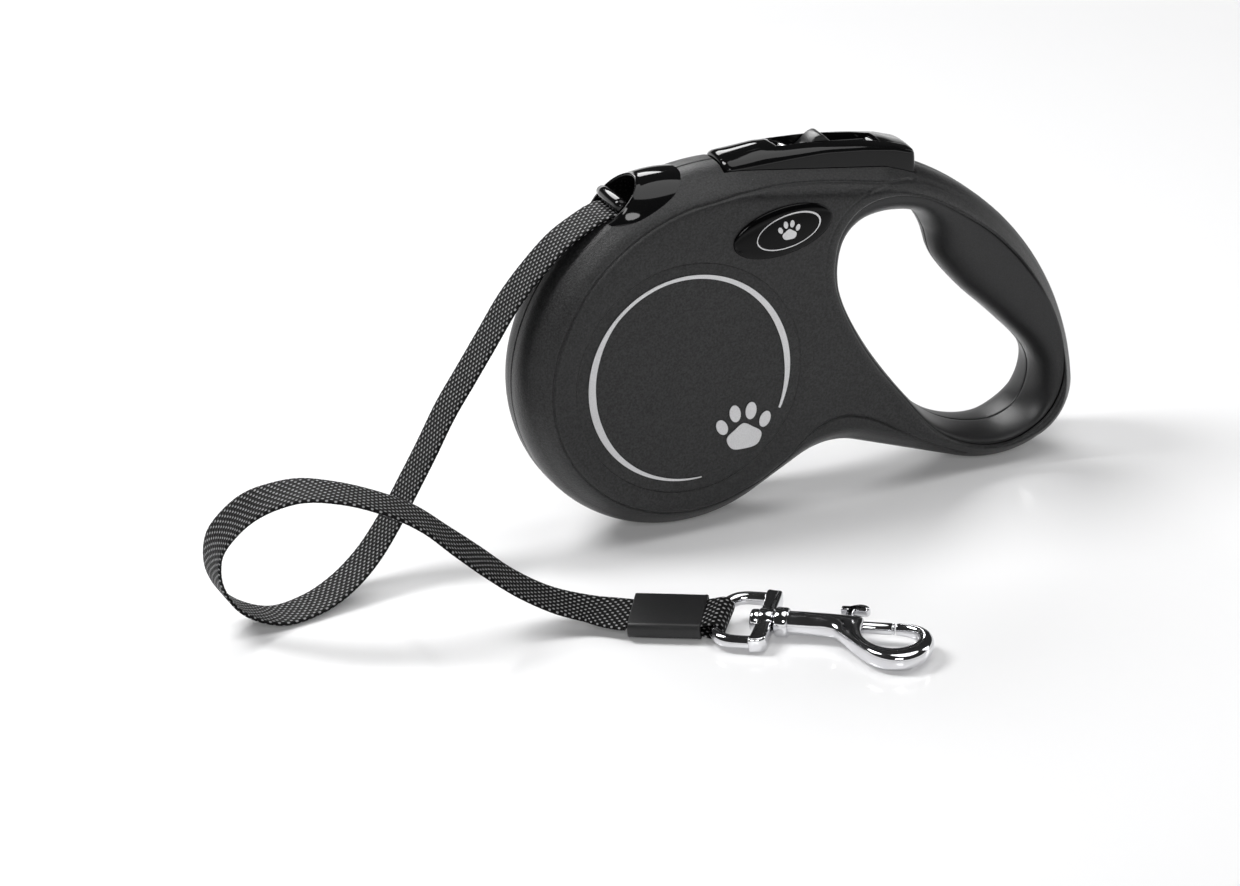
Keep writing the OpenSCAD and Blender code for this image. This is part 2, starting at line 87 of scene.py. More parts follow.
# Free tape: x, y, z and the bank of its far edge in degrees.
TAPE_ROUTE = [
    (-56, 0, 91.4, 0), (-66, 0, 86.2, 0), (-74.5, 0.5, 78.5, 0), (-81.5, 1, 70.5, 0), (-88, 1, 61.5, 0),
    (-94.5, 1, 52.5, 0), (-101, 1, 43.5, 0), (-107, 0.5, 34, 0), (-113, 0, 25, 0), (-119.5, -1.5, 16.5, 0),
    (-127.5, -4.5, 9, 0), (-136.5, -8, 4, 0), (-146.5, -11.5, 1.5, 0), (-157.5, -13.5, 1.5, 0),
    (-167.5, -13, 6.5, 0), (-173, -13.5, 15.5, 0), (-173.5, -16.5, 26, 0), (-169.5, -22, 35, 0),
    (-163.5, -28.5, 41.5, 0), (-155, -34.5, 45, 2), (-145.5, -40, 44.5, 5), (-135.5, -44, 41, 9),
    (-126.5, -46, 35.5, 14), (-118.5, -47, 28, 18), (-110.5, -47.5, 20.5, 20), (-102, -49, 13, 17),
    (-93, -52, 7.5, 14), (-83.5, -56.5, 4.5, 12), (-75.5, -64.5, 4.2, 12),
]

HOOK_AT = Vector((-51.2, -80.4, 4.2))
HOOK_TURN = math.radians(-36.87)
HOOK_ROLL = math.radians(4)
SHACKLE_ROLL = math.radians(9)

# Most points measured at a time, to save memory.
CHUNK = 2000


# ------------ curves

def smooth(p0, p1, p2, p3, t):
    """Point at t between p1 and p2 on a smooth curve through four points."""
    return 0.5 * (2 * p1 + (p2 - p0) * t + (2 * p0 - 5 * p1 + 4 * p2 - p3) * t * t
                  + (3 * p1 - p0 - 3 * p2 + p3) * t ** 3)


def closed_curve(points, k):
    """Smooth closed curve through points, with k steps between each two."""
    pts = np.array(points, float)
    n = len(pts)
    return np.array([smooth(pts[i - 1], pts[i], pts[(i + 1) % n], pts[(i + 2) % n], j / k)
                     for i in range(n) for j in range(k)])


def open_curve(points, k):
    """Smooth open curve through points, with k steps between each two."""
    pts = np.array(points, float)
    n = len(pts)
    out = [smooth(pts[max(i - 1, 0)], pts[i], pts[i + 1], pts[min(i + 2, n - 1)], j / k)
           for i in range(n - 1) for j in range(k)]
    return np.array(out + [pts[-1]])


def arc_point(arc, angle, inset):
    """Point of an outline arc, moved in towards the middle of the case."""
    cx, cz, r = arc[:3]
    r = abs(r) - math.copysign(inset, r)
    return (cx + r * math.cos(math.radians(angle)), cz + r * math.sin(math.radians(angle)))


def outline(inset=0.0):
    """The case outline moved inwards, with the same number of points at every inset."""
    out = []
    for i, arc in enumerate(CASE_ARCS):
        following = CASE_ARCS[(i + 1) % len(CASE_ARCS)]
        steps = max(2, math.ceil(math.radians(abs(arc[4] - arc[3])) * abs(arc[2]) / OUTLINE_SPACING))
        out += [arc_point(arc, arc[3] + (arc[4] - arc[3]) * k / steps, inset) for k in range(steps)]
        gap = math.dist(arc_point(arc, arc[4], 0), arc_point(following, following[3], 0))
        if gap > OUTLINE_SPACING:
            a = np.array(arc_point(arc, arc[4], inset))
            b = np.array(arc_point(following, following[3], inset))
            count = math.ceil(gap / OUTLINE_SPACING)
            out += [tuple(a + (b - a) * k / count) for k in range(count)]
    return np.array(out)


def ellipse(cx, cz, rx, rz, turn, count):
    """An oval turned by some degrees."""
    a = np.linspace(0, 2 * math.pi, count, endpoint=False)
    x, z = rx * np.cos(a), rz * np.sin(a)
    t = math.radians(turn)
    return np.stack([cx + x * math.cos(t) - z * math.sin(t), cz + x * math.sin(t) + z * math.cos(t)], 1)


def moved(points, d):
    """A closed curve moved sideways; positive d moves a clockwise curve outwards."""
    tangent = np.roll(points, -1, 0) - np.roll(points, 1, 0)
    tangent /= np.linalg.norm(tangent, axis=1)[:, None]
    return points + d * np.stack([-tangent[:, 1], tangent[:, 0]], 1)


def distance_to(points, line, closed=True):
    """Distance from each point to a line, which runs back to its start where it is closed."""
    a, b = (line, np.roll(line, -1, 0)) if closed else (line[:-1], line[1:])
    ab = b - a
    best = np.empty(len(points))
    for start in range(0, len(points), CHUNK):
        p = points[start:start + CHUNK, None, :]
        t = np.clip(((p - a) * ab).sum(2) / (ab ** 2).sum(1), 0, 1)
        best[start:start + CHUNK] = np.linalg.norm(p - (a + t[..., None] * ab), axis=2).min(1)
    return best


def nearest(points, others):
    """Distance from each point to the nearest of some others."""
    best = np.empty(len(points))
    for start in range(0, len(points), CHUNK):
        part = points[start:start + CHUNK, None, :] - others[None]
        best[start:start + CHUNK] = np.sqrt((part ** 2).sum(2)).min(1)
    return best


def inside(points, curve):
    """True for the points inside a closed curve."""
    a, b = curve, np.roll(curve, -1, 0)
    x, z = points[:, 0, None], points[:, 1, None]
    crosses = (a[:, 1] > z) != (b[:, 1] > z)
    with np.errstate(divide="ignore", invalid="ignore"):
        at = (b[:, 0] - a[:, 0]) * (z - a[:, 1]) / (b[:, 1] - a[:, 1]) + a[:, 0]
    return (crosses & (x < at)).sum(1) % 2 == 1


def unit(v):
    """Vectors at length 1."""
    v = np.asarray(v, float)
    return v / np.linalg.norm(v, axis=-1, keepdims=True)


# ------------ meshes

def in_scene(name, data):
    """An object with some data, added to the scene."""
    obj = bpy.data.objects.new(name, data)
    bpy.context.scene.collection.objects.link(obj)
    return obj


def new_object(name, verts, faces, smooth_faces=True):
    """A mesh object from points in millimetres."""
    mesh = bpy.data.meshes.new(name)
    points = [tuple(v) for v in np.asarray(verts, float) * MM]
    mesh.from_pydata(points, [], [list(map(int, f)) for f in faces])
    mesh.validate()
    mesh.update()
    for poly in mesh.polygons:
        poly.use_smooth = smooth_faces
    return in_scene(name, mesh)


def ring_faces(rings, count, flip=False):
    """Quads between consecutive closed rings of count points."""
    faces = []
    for k in range(rings - 1):
        for i in range(count):
            j = (i + 1) % count
            quad = (k * count + i, k * count + j, (k + 1) * count + j, (k + 1) * count + i)
            faces.append(quad[::-1] if flip else quad)
    return faces


def loft(name, rings, caps=(True, True), smooth_faces=True):
    """A mesh through closed rings of points, with flat caps at its ends."""
    rings = [np.asarray(r, float) for r in rings]
    count = len(rings[0])
    faces = ring_faces(len(rings), count)
    last = (len(rings) - 1) * count
    if caps[0]:
        faces.append(tuple(range(count - 1, -1, -1)))
    if caps[1]:
        faces.append(tuple(last + i for i in range(count)))
    return new_object(name, np.concatenate(rings), faces, smooth_faces)


def join(objects, name):
    """Joins objects into one piece."""
    bpy.ops.object.select_all(action="DESELECT")
    for o in objects:
        o.select_set(True)
    bpy.context.view_layer.objects.active = objects[0]
    bpy.ops.object.join()
    objects[0].name = name
    return objects[0]


def fix_normals(obj):
    """Turns every face outwards."""
    bm = bmesh.new()
    bm.from_mesh(obj.data)
    bmesh.ops.recalc_face_normals(bm, faces=bm.faces)
    bm.to_mesh(obj.data)
    bm.free()
    return obj


def mirrored(obj, name):
    """The same piece on the rear side of the case."""
    copy = obj.copy()
    copy.data = obj.data.copy()
    copy.name = name
    bpy.context.scene.collection.objects.link(copy)
    mesh = copy.data
    normals = None
    if mesh.has_custom_normals:
        normals = [(v.vector.x, -v.vector.y, v.vector.z) for v in mesh.vertex_normals]
    mesh.transform(Matrix.Diagonal((1, -1, 1, 1)))
    mesh.flip_normals()
    if normals:
        mesh.normals_split_custom_set_from_vertices(normals)
    return copy


def dress(obj, material, body, slot, *nodes):
    """Gives a piece its material and its body, and hides the CAD nodes that it replaces; the slot is not
    used.
    """
    obj.data.materials.clear()
    obj.data.materials.append(material)
    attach(obj, body)
    if nodes:
        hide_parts(*nodes)
    return obj


# ------------ materials

class Nodes:
    """Short way to build a node material."""

    def __init__(self, name):
        self.material = bpy.data.materials.new(name)
        self.material.use_nodes = True
        self.tree = self.material.node_tree
        self.shader = self.tree.nodes["Principled BSDF"]
        self.coords = self.add("ShaderNodeTexCoord")

    def add(self, kind, **values):
        """A node with its settings and inputs given by name."""
        node = self.tree.nodes.new(kind)
        for key, value in values.items():
            if hasattr(node, key):
                setattr(node, key, value)
            else:
                node.inputs[key.replace("_", " ")].default_value = value
        return node

    def link(self, a, b):
        self.tree.links.new(a, b)

    def set(self, **values):
        for key, value in values.items():
            self.shader.inputs[key.replace("_", " ")].default_value = value

    def noise(self, scale, detail=2.0, roughness=0.5):
        node = self.add("ShaderNodeTexNoise", Scale=scale, Detail=detail, Roughness=roughness)
        self.link(self.coords.outputs["Object"], node.inputs["Vector"])
        return node.outputs["Fac"]

    def ramp(self, value, low, high, a=0.0, b=1.0):
        """A value from low to high carried over to the range from a to b."""
        node = self.add("ShaderNodeMapRange", From_Min=low, From_Max=high, To_Min=a, To_Max=b)
        self.link(value, node.inputs["Value"])
        return node.outputs["Result"]

    def math(self, kind, a, b=0.0):
        node = self.add("ShaderNodeMath", operation=kind)
        for socket, value in zip(node.inputs, (a, b)):
            if isinstance(value, (int, float)):
                socket.default_value = value
            else:
                self.link(value, socket)
        return node.outputs[0]

    def colour(self, factor, a, b):
        """Base colour between a and b."""
        node = self.add("ShaderNodeMix", data_type="RGBA")
        self.link(factor, node.inputs["Factor"])
        node.inputs["A"].default_value = (*a, 1)
        node.inputs["B"].default_value = (*b, 1)
        self.link(node.outputs["Result"], self.shader.inputs["Base Color"])

    def rough(self, value):
        self.link(value, self.shader.inputs["Roughness"])

    def bump(self, *layers):
        """Layers of (height, distance in metres, strength)."""
        last = None
        for height, distance, strength in layers:
            node = self.add("ShaderNodeBump", Strength=strength, Distance=distance)
            self.link(height, node.inputs["Height"])
            if last:
                self.link(last, node.inputs["Normal"])
            last = node.outputs["Normal"]
        self.link(last, self.shader.inputs["Normal"])


INK_ROUGHNESS = 0.35


def grey(level, tint=0.0):
    """A grey that is bluer by a tint."""
    return (level, level, level + tint)


def moulded_plastic(name, dark, light, rough_low, rough_high, grain=0.00012, grain_scale=1900.0):
    """Black plastic with a fine spark-eroded grain."""
    m = Nodes(name)
    grain_fac = m.noise(grain_scale, 3.0, 0.6)
    patches = m.noise(35.0, 3.0, 0.5)
    m.colour(m.ramp(grain_fac, 0.35, 0.68), dark, light)
    m.rough(m.ramp(patches, 0.3, 0.7, rough_low, rough_high))
    m.bump((grain_fac, grain, 0.55), (m.noise(420.0, 2.0), grain * 0.6, 0.25))
    m.set(Specular_IOR_Level=0.4)
    return m.material


def gloss_plastic(name, base, roughness=0.06, specular=0.32):
    """Polished black plastic with the faint waves of a moulding."""
    m = Nodes(name)
    waves = m.noise(60.0, 1.0)
    dust = m.noise(2600.0, 1.0)
    m.colour(m.ramp(dust, 0.72, 0.8), base, tuple(c * 3 for c in base))
    m.rough(m.ramp(m.noise(140.0, 3.0), 0.35, 0.75, roughness * 0.7, roughness * 1.7))
    m.bump((waves, 0.00004, 0.25))
    m.set(Specular_IOR_Level=specular)
    return m.material


def plated_metal(name, base=(0.78, 0.78, 0.8), roughness=0.07):
    """Plated zinc casting: bright, with slight waves and pits."""
    m = Nodes(name)
    pits = m.noise(1500.0, 2.0)
    m.colour(m.ramp(m.noise(90.0, 2.0), 0.3, 0.7), tuple(c * 0.86 for c in base), base)
    m.rough(m.ramp(m.noise(300.0, 3.0), 0.3, 0.75, roughness * 0.6, roughness * 1.8))
    m.bump((m.noise(160.0, 2.0), 0.00012, 0.3), (pits, 0.00003, 0.25))
    m.set(Metallic=1.0)
    return m.material


def print_ink(name, base):
    """Ink with a fine metallic grain."""
    m = Nodes(name)
    flake = m.noise(5200.0, 2.0)
    m.colour(m.ramp(flake, 0.3, 0.7), tuple(c * 0.82 for c in base), base)
    m.rough(m.ramp(flake, 0.3, 0.7, INK_ROUGHNESS * 0.8, INK_ROUGHNESS * 1.2))
    m.bump((flake, 0.00002, 0.2))
    m.set(Metallic=0.55)
    return m.material


# Repeat of the weave in millimetres.
WEAVE_ACROSS = 1.9
WEAVE_ALONG = 2.2


def woven_tape(name):
    """Flat polyester weave drawn along the tape: U is millimetres along it, V across it."""
    m = Nodes(name)
    split = m.add("ShaderNodeSeparateXYZ")
    m.link(m.coords.outputs["UV"], split.inputs[0])
    u, v = split.outputs[0], split.outputs[1]
    across = m.math("COSINE", m.math("MULTIPLY", v, 2 * math.pi / WEAVE_ACROSS))
    along = m.math("COSINE", m.math("MULTIPLY", u, 2 * math.pi / WEAVE_ALONG))
    weave = m.math("MULTIPLY", across, along)
    uneven_glints = m.math("MULTIPLY", m.noise(900.0, 2.0), 0.5)
    height = m.math("ADD", weave, uneven_glints)
    fibres = m.noise(2400.0, 2.0)
    # The light grey specks at the peaks of the weave are painted glints of its threads; the noise makes them
    # uneven.
    m.colour(m.ramp(height, 0.6, 1.1), grey(0.001, 0.0001), grey(0.32, 0.005))
    m.rough(m.ramp(fibres, 0.3, 0.7, 0.5, 0.68))
    m.bump((weave, 0.0002, 0.5), (fibres, 0.00006, 0.3))
    m.set(Specular_IOR_Level=0.12)
    return m.material


def floor_material():
    """Pale floor that glows a little, and more with distance, so that it stays pale far from the lights."""
    m = Nodes("floor")
    m.colour(m.ramp(m.noise(3.0, 2.0), 0.3, 0.7), grey(0.86, 0.005), grey(0.87, 0.005))
    m.set(Roughness=0.12, Specular_IOR_Level=0.4, Emission_Color=(1, 1, 1, 1))
    away = m.add("ShaderNodeVectorMath", operation="LENGTH")
    m.link(m.coords.outputs["Object"], away.inputs[0])
    m.link(m.ramp(away.outputs["Value"], 0.4, 2.5, 0.11, 0.9), m.shader.inputs["Emission Strength"])
    return m.material


CASE = moulded_plastic("case_plastic", grey(0.006, 0.0002), grey(0.026, 0.0008), 0.38, 0.46, 0.00018)
GRIP = moulded_plastic("grip_plastic", grey(0.012, 0.0005), grey(0.02, 0.001), 0.36, 0.44, 0.00005, 2600.0)
GLOSS = gloss_plastic("gloss_black", grey(0.004, 0.0002))
BADGE = gloss_plastic("badge_black", grey(0.002, 0.0002), 0.09, 0.14)
SLEEVE = moulded_plastic("sleeve_plastic", grey(0.008, 0.0005), grey(0.012, 0.0005), 0.36, 0.45, 0.00003)
SLIDER = moulded_plastic("slider_plastic", grey(0.006, 0.0002), grey(0.01, 0.0004), 0.24, 0.3, 0.00003)
INNER = moulded_plastic("inner_plastic", grey(0.05, 0.002), grey(0.07, 0.003), 0.45, 0.55)
SILVER = print_ink("silver_print", grey(0.72, 0.01))
WHITE = print_ink("white_mark", grey(0.88))
CHROME = plated_metal("chrome")
STEEL = plated_metal("zinc_steel", (0.55, 0.56, 0.58), 0.22)
BLUED = plated_metal("blued_strip", (0.28, 0.32, 0.4), 0.25)
WEAVE = woven_tape("tape_weave")


# ------------ camera, light, floor

CAMERA_TURN = math.radians(-21.29)
CAMERA_RISE = math.radians(23.0)
CAMERA_ROLL = math.radians(-3.0)
CAMERA_TARGET = Vector((-51.7, 0, 24.3)) * MM
CAMERA_DISTANCE = 1.54
LENS_MM = 164.66
# Brightness of the surroundings at the horizon and overhead, and the heights between which it falls.
HORIZON = 0.95
OVERHEAD = 0.03
FALL_START = 0.06
FALL_END = 0.16
FLOOR_HALF = 12.0
FLOOR_DROP = 0.0002
# Place, target, width and height in metres, and power.
LIGHTS = {
    "key": ((-0.42, 0.2, 0.6), (-0.06, 0, 0.06), 0.25, 0.38, 4.0),
    "top": ((0.2, -0.15, 1.05), (0, -0.04, 0.0), 0.9, 0.9, 4.6),
    "front": ((-0.55, -1.2, 0.75), (-0.06, -0.05, 0.03), 0.62, 0.34, 4.6),
    "side": ((0.85, -0.1, 0.4), (0.05, 0, 0.05), 0.22, 0.68, 1.4),
    "back": ((0.05, 1.1, 0.8), (0.05, 0.4, 0.0), 0.9, 0.45, 8.5),
}


def make_camera():
    """Camera aimed at CAMERA_TARGET from the side, above and a little rolled."""
    turn, rise, roll = CAMERA_TURN, CAMERA_RISE, CAMERA_ROLL
    forward = Vector((-math.sin(turn) * math.cos(rise), math.cos(turn) * math.cos(rise), -math.sin(rise)))
    level = Vector((math.cos(turn), math.sin(turn), 0))
    up = level.cross(forward)
    right = level * math.cos(roll) + up * math.sin(roll)
    up = -level * math.sin(roll) + up * math.cos(roll)
    data = bpy.data.cameras.new("camera")
    data.lens = LENS_MM
    data.sensor_width = 36.0
    data.clip_start = 0.05
    data.clip_end = 50
    camera = in_scene("camera", data)
    rotation = Matrix((right, up, -forward)).transposed().to_4x4()
    camera.matrix_world = Matrix.Translation(CAMERA_TARGET - forward * CAMERA_DISTANCE) @ rotation
    bpy.context.scene.camera = camera


def area_light(name, at, target, width, height, power):
    """Oval soft light at a place, aimed at a target."""
    data = bpy.data.lights.new(name, "AREA")
    data.energy = power
    data.shape = "ELLIPSE"
    data.size = width
    data.size_y = height
    light = in_scene(name, data)
    light.location = at
    light.rotation_euler = (Vector(target) - Vector(at)).to_track_quat("-Z", "Y").to_euler()


def studio_world():
    """White around the horizon and nearly black overhead."""
    world = bpy.data.worlds.new("studio")
    world.use_nodes = True
    tree = world.node_tree
    coords = tree.nodes.new("ShaderNodeTexCoord")
    split = tree.nodes.new("ShaderNodeSeparateXYZ")
    tree.links.new(coords.outputs["Generated"], split.inputs[0])
    fall = tree.nodes.new("ShaderNodeMapRange")
    fall.inputs["From Min"].default_value = FALL_START
    fall.inputs["From Max"].default_value = FALL_END
    fall.inputs["To Min"].default_value = HORIZON
    fall.inputs["To Max"].default_value = OVERHEAD
    tree.nodes["Background"].inputs["Color"].default_value = (1, 1, 1, 1)
    tree.links.new(split.outputs["Z"], fall.inputs["Value"])
    tree.links.new(fall.outputs["Result"], tree.nodes["Background"].inputs["Strength"])
    return world


def make_stage():
    """Floor, surroundings and lights."""
    mesh = bpy.data.meshes.new("floor")
    s = FLOOR_HALF
    mesh.from_pydata([(-s, -s, 0), (s, -s, 0), (s, s, 0), (-s, s, 0)], [], [(0, 1, 2, 3)])
    floor = in_scene("floor", mesh)
    floor.location.z = -FLOOR_DROP
    floor.data.materials.append(floor_material())
    bpy.context.scene.world = studio_world()
    bpy.context.scene.view_settings.view_transform = "Standard"
    for name, settings in LIGHTS.items():
        area_light(name, *settings)


# ------------ tape

ROUTE_STEPS = 10
SECTION_SIDE = 7
SECTION_EDGE = 4


def tape_frames():
    """Centre, width direction and thickness direction along the tape."""
    route = open_curve(TAPE_ROUTE, ROUTE_STEPS)
    centre, bank = route[:, :3], np.radians(route[:, 3])
    tangent = unit(np.gradient(centre, axis=0))
    w0 = unit(np.array([0.0, 1.0, 0.0]) - tangent[:, 1:2] * tangent)
    n0 = np.cross(tangent, w0)
    w = w0 * np.cos(bank)[:, None] + n0 * np.sin(bank)[:, None]
    return centre, w, np.cross(tangent, w)


def ribbon_section(width, thick):
    """Closed cross-section of a flat tape with round edges: across, through."""
    half = width / 2 - thick / 2
    top = [(half - 2 * half * i / SECTION_SIDE, thick / 2) for i in range(SECTION_SIDE + 1)]
    left = [(-half - thick / 2 * math.sin(a), thick / 2 * math.cos(a))
            for a in [math.pi * (i + 1) / (SECTION_EDGE + 1) for i in range(SECTION_EDGE)]]
    bottom = [(-x, -t) for x, t in top]
    right = [(-x, -t) for x, t in left]
    return top + left + bottom + right


def sweep_ribbon(name, centre, w, n, width, thick):
    """A tape swept along its frames, with UVs in millimetres, and its length."""
    section = ribbon_section(width, thick)
    rings = [c + np.outer([a for a, _ in section], wi) + np.outer([b for _, b in section], ni)
             for c, wi, ni in zip(centre, w, n)]
    obj = fix_normals(loft(name, rings))
    length = np.concatenate([[0], np.cumsum(np.linalg.norm(np.diff(centre, axis=0), axis=1))])
    count = len(section)
    uv = obj.data.uv_layers.new(name="tape").data
    around = np.concatenate([[0], np.cumsum([math.dist(section[i], section[(i + 1) % count])
                                             for i in range(count)])])
    for poly in obj.data.polygons:
        wraps = {obj.data.loops[k].vertex_index % count for k in poly.loop_indices} >= {0, count - 1}
        for k in poly.loop_indices:
            index = obj.data.loops[k].vertex_index
            ring, side = divmod(index, count)
            uv[k].uv = (length[ring], around[-1] if wraps and side == 0 else around[side])
    return obj, length[-1]


def make_tape():
    """The free tape, with its centre line and length."""
    centre, w, n = tape_frames()
    tape, length = sweep_ribbon("leash_tape_woven", centre, w, n, TAPE_W, TAPE_T)
    dress(tape, WEAVE, ROOT, "tape", "leash_tape")
    return tape, centre, length


make_camera()
tape, tape_path, tape_length = make_tape()
make_stage()


# ------------ case

EDGE = closed_curve(OPENING_EDGE, 24)
WAIST = closed_curve(OPENING_WAIST, 24)
OUTLINE = outline()
RIM_DEPTH = 3.0
ROLL_R = 3.6
ROLL_DROP = 3.2
ROLL_BLEND = 0.9
DISC_R = 32.67
# Depth and width of the grooves along the side panel, around the disc and around the opening.
PANEL_GROOVE = (0.45, 0.28)
DISC_GROOVE = (0.16, 0.16)
OPENING_GROOVE = (0.12, 0.3)
# Angle where the round of the rim gives way to a curve, and that curve's steps inwards and upwards.
RIM_TURN = math.radians(35)
RIM_CURVE_IN = (0, 2.0, 3.8, 7.2)
RIM_CURVE_UP = 2.86
# Side panel's edge behind the button, and from under the drum to the handle.
PANEL_TOP = [
    (36.6, 93.0), (37.3, 90.2), (35.2, 88.0), (22.9, 89.8), (8.2, 92.6), (-6.5, 94.4), (-19.5, 94.6),
]
PANEL_NOTCH = [
    (-16.2, 10.9), (-9, 15.8), (-5.2, 19.2), (-1.6, 22.1), (2.6, 24.3), (7.8, 25.4), (13, 24.4), (19, 21.6),
    (27.6, 15.8), (34.8, 11.2), (46.5, 4.9), (52, 2.0),
]


def rim_height(inset):
    """Height of the case surface above its mid-plane at a distance in from the outline."""
    d = np.clip(np.asarray(inset, float), 0, None)
    d1, y1 = RIM_R * (1 - math.cos(RIM_TURN)), LAND + RIM_R * math.sin(RIM_TURN)
    circle = LAND + np.sqrt(np.clip(RIM_R ** 2 - (RIM_R - np.minimum(d, d1)) ** 2, 0, None))
    t = np.linspace(0, 1, 80)
    weights = [(1 - t) ** 3, 3 * t * (1 - t) ** 2, 3 * t ** 2 * (1 - t), t ** 3]
    across = sum(w * (d1 + step) for w, step in zip(weights, RIM_CURVE_IN))
    up = sum(w * y for w, y in zip(weights, (y1, y1 + RIM_CURVE_UP, HALF_T, HALF_T)))
    return np.where(d <= d1, circle, np.interp(d, across, up))


def rim_inset(depth):
    """How far in from the outline the round of the rim is, at a distance from the mid-plane."""
    past = min(max(0.0, abs(depth) - LAND), RIM_R - 0.2)
    return RIM_R - math.sqrt(RIM_R ** 2 - past ** 2)


def resampled(line, spacing):
    """The same open line with evenly spaced points."""
    along = np.concatenate([[0], np.cumsum(np.linalg.norm(np.diff(line, axis=0), axis=1))])
    at = np.linspace(0, along[-1], int(along[-1] / spacing))
    return np.stack([np.interp(at, along, line[:, k]) for k in (0, 1)], 1)


def panel_line():
    """Line where the side panel meets the rim, from behind the button around the drum to the handle."""
    crown = [arc_point(CROWN, a, PANEL_IN) for a in np.arange(100, 160, 2)]
    drum = [arc_point(DRUM_ARC, a, PANEL_IN) for a in np.arange(160, 294, 2)]
    parts = [open_curve(PANEL_TOP, 8), crown, drum, open_curve(PANEL_NOTCH, 8)]
    return resampled(np.concatenate(parts), 0.7)


LINE = panel_line()


def groove(distance, depth, width):
    """Depth of a rounded groove at a distance from its line."""
    return depth * np.exp(-(distance / width) ** 2)


def case_height(points):
    """Height of the front of the case above the mid-plane."""
    rim = rim_height(distance_to(points, OUTLINE))
    from_edge = distance_to(points, EDGE)
    u = np.clip(1 - from_edge / ROLL_R, 0, 1)
    roll = HALF_T - ROLL_DROP * (1 - np.sqrt(1 - u ** 2 * 0.98))
    blend = np.clip(0.5 + 0.5 * (roll - rim) / ROLL_BLEND, 0, 1)
    height = roll * (1 - blend) + rim * blend - ROLL_BLEND * blend * (1 - blend)
    height = height - groove(distance_to(points, LINE, closed=False), *PANEL_GROOVE)
    height = height - groove(np.linalg.norm(points - DRUM, axis=1) - DISC_R, *DISC_GROOVE)
    return height - groove(from_edge - ROLL_R - 0.2, *OPENING_GROOVE)


# Lines of points over the flat of the case: how far from the outline, panel line, opening and disc they run.
RIM_LINES = (3.5, 4.1, 4.8, 5.6, 6.4, 7.3, 8.4, 9.8)
PANEL_LINES = (0, -0.2, 0.2, -0.4, 0.4, -0.7, 0.7)
OPENING_LINES = (0.15, 0.4, 0.8, 1.3, 1.9, 2.6, 3.2, 3.6, 3.8, 4.1, 4.6)
DISC_LINES = (-0.3, -0.1, 0.1, 0.3)
# Least gap between points on each kind of line, and between the points that fill the rest.
PANEL_GAP = 0.12
DISC_GAP = 0.14
OPENING_GAP = 0.2
RIM_GAP = 0.45
FILL_GAP = 1.6
FILL_STEP = (3.0, 2.6)


def case_points():
    """Points over the flat of the case, denser along its lines and edges."""
    layers = [(outline(d), RIM_GAP) for d in RIM_LINES]
    tangent = unit(np.gradient(LINE, axis=0))
    sideways = np.stack([-tangent[:, 1], tangent[:, 0]], 1)
    layers += [(LINE + d * sideways, PANEL_GAP) for d in PANEL_LINES]
    layers += [(moved(EDGE, d), OPENING_GAP) for d in OPENING_LINES]
    layers += [(ellipse(*DRUM, DISC_R + d, DISC_R + d, 0, 260), DISC_GAP) for d in DISC_LINES]
    xs, zs = np.meshgrid(np.arange(-82, 83, FILL_STEP[0]), np.arange(0, 103, FILL_STEP[1]))
    xs[1::2] += FILL_STEP[0] / 2
    layers.append((np.stack([xs.ravel(), zs.ravel()], 1), FILL_GAP))
    border = outline(RIM_DEPTH)
    taken = np.concatenate([border, EDGE])
    out = []
    for pts, gap in sorted(layers, key=lambda layer: layer[1]):
        pts = pts[inside(pts, border) & ~inside(pts, EDGE)]
        pts = pts[(distance_to(pts, border) > gap) & (distance_to(pts, EDGE) > min(gap, PANEL_GAP))]
        pts = pts[nearest(pts, taken) > gap]
        out.append(pts)
        taken = np.concatenate([taken, pts])
    return np.concatenate(out)


def surface_normals(points):
    """Outward normals of the front of the case, from the slope of its height."""
    e = 0.02
    dx = (case_height(points + [e, 0]) - case_height(points - [e, 0])) / (2 * e)
    dz = (case_height(points + [0, e]) - case_height(points - [0, e])) / (2 * e)
    return unit(np.stack([-dx, -np.ones(len(points)), -dz], 1))


SLOT_X = (-21.2, 36.2)
SLOT_HALF = 7.9
SLOT_ABOVE = 80
SLOT_DEEP = 4.5
NOZZLE_ANGLE = 109.4
NOZZLE_MIDDLE = 1.3
NOZZLE_REACH = 14.7
NOZZLE_HALF = 12.3
# Part of the hood's foot under which the case is open.
NOZZLE_OPEN = 0.86


# Inset and depth of the rings at the parting line, then depths on the round and insets past it.
PARTING_STEP = [(0.42, 0.02), (0.2, 0.14), (0.03, 0.34), (0.0, 0.55), (0.0, LAND)]
ROUND_DEPTHS = (3.2, 4.3, 5.4, 6.6, SLOT_HALF)
ROUND_INSETS = (2.12, 2.5)


def over_slot(point, depth):
    """True where the case is open for the button."""
    return SLOT_X[0] < point[0] < SLOT_X[1] and point[1] > SLOT_ABOVE and depth < SLOT_HALF - 0.01


def under_nozzle(point, depth):
    """True where the nozzle's hood covers the crown of the case, which is open there."""
    angle = math.degrees(math.atan2(point[1] - CROWN[1], point[0] - CROWN[0]))
    along = CROWN[2] * math.radians(angle - NOZZLE_ANGLE) - NOZZLE_MIDDLE
    return (along / NOZZLE_REACH) ** 2 + (depth / NOZZLE_HALF) ** 2 < NOZZLE_OPEN ** 2


def rim_faces(rings, depths):
    """Quads between the rings of the rim and on to the flat, open at the slot and under the nozzle."""
    count = len(rings[0])
    faces = []
    for k, (ring, depth) in enumerate(zip(rings, depths)):
        a, b = k * count, (k + 1) * count
        for i in range(count):
            j = (i + 1) % count
            middle = (ring[i] + ring[j]) / 2
            if not over_slot(middle, depth) and not under_nozzle(middle, depth):
                faces.append((a + i, b + i, b + j, a + j))
    return faces


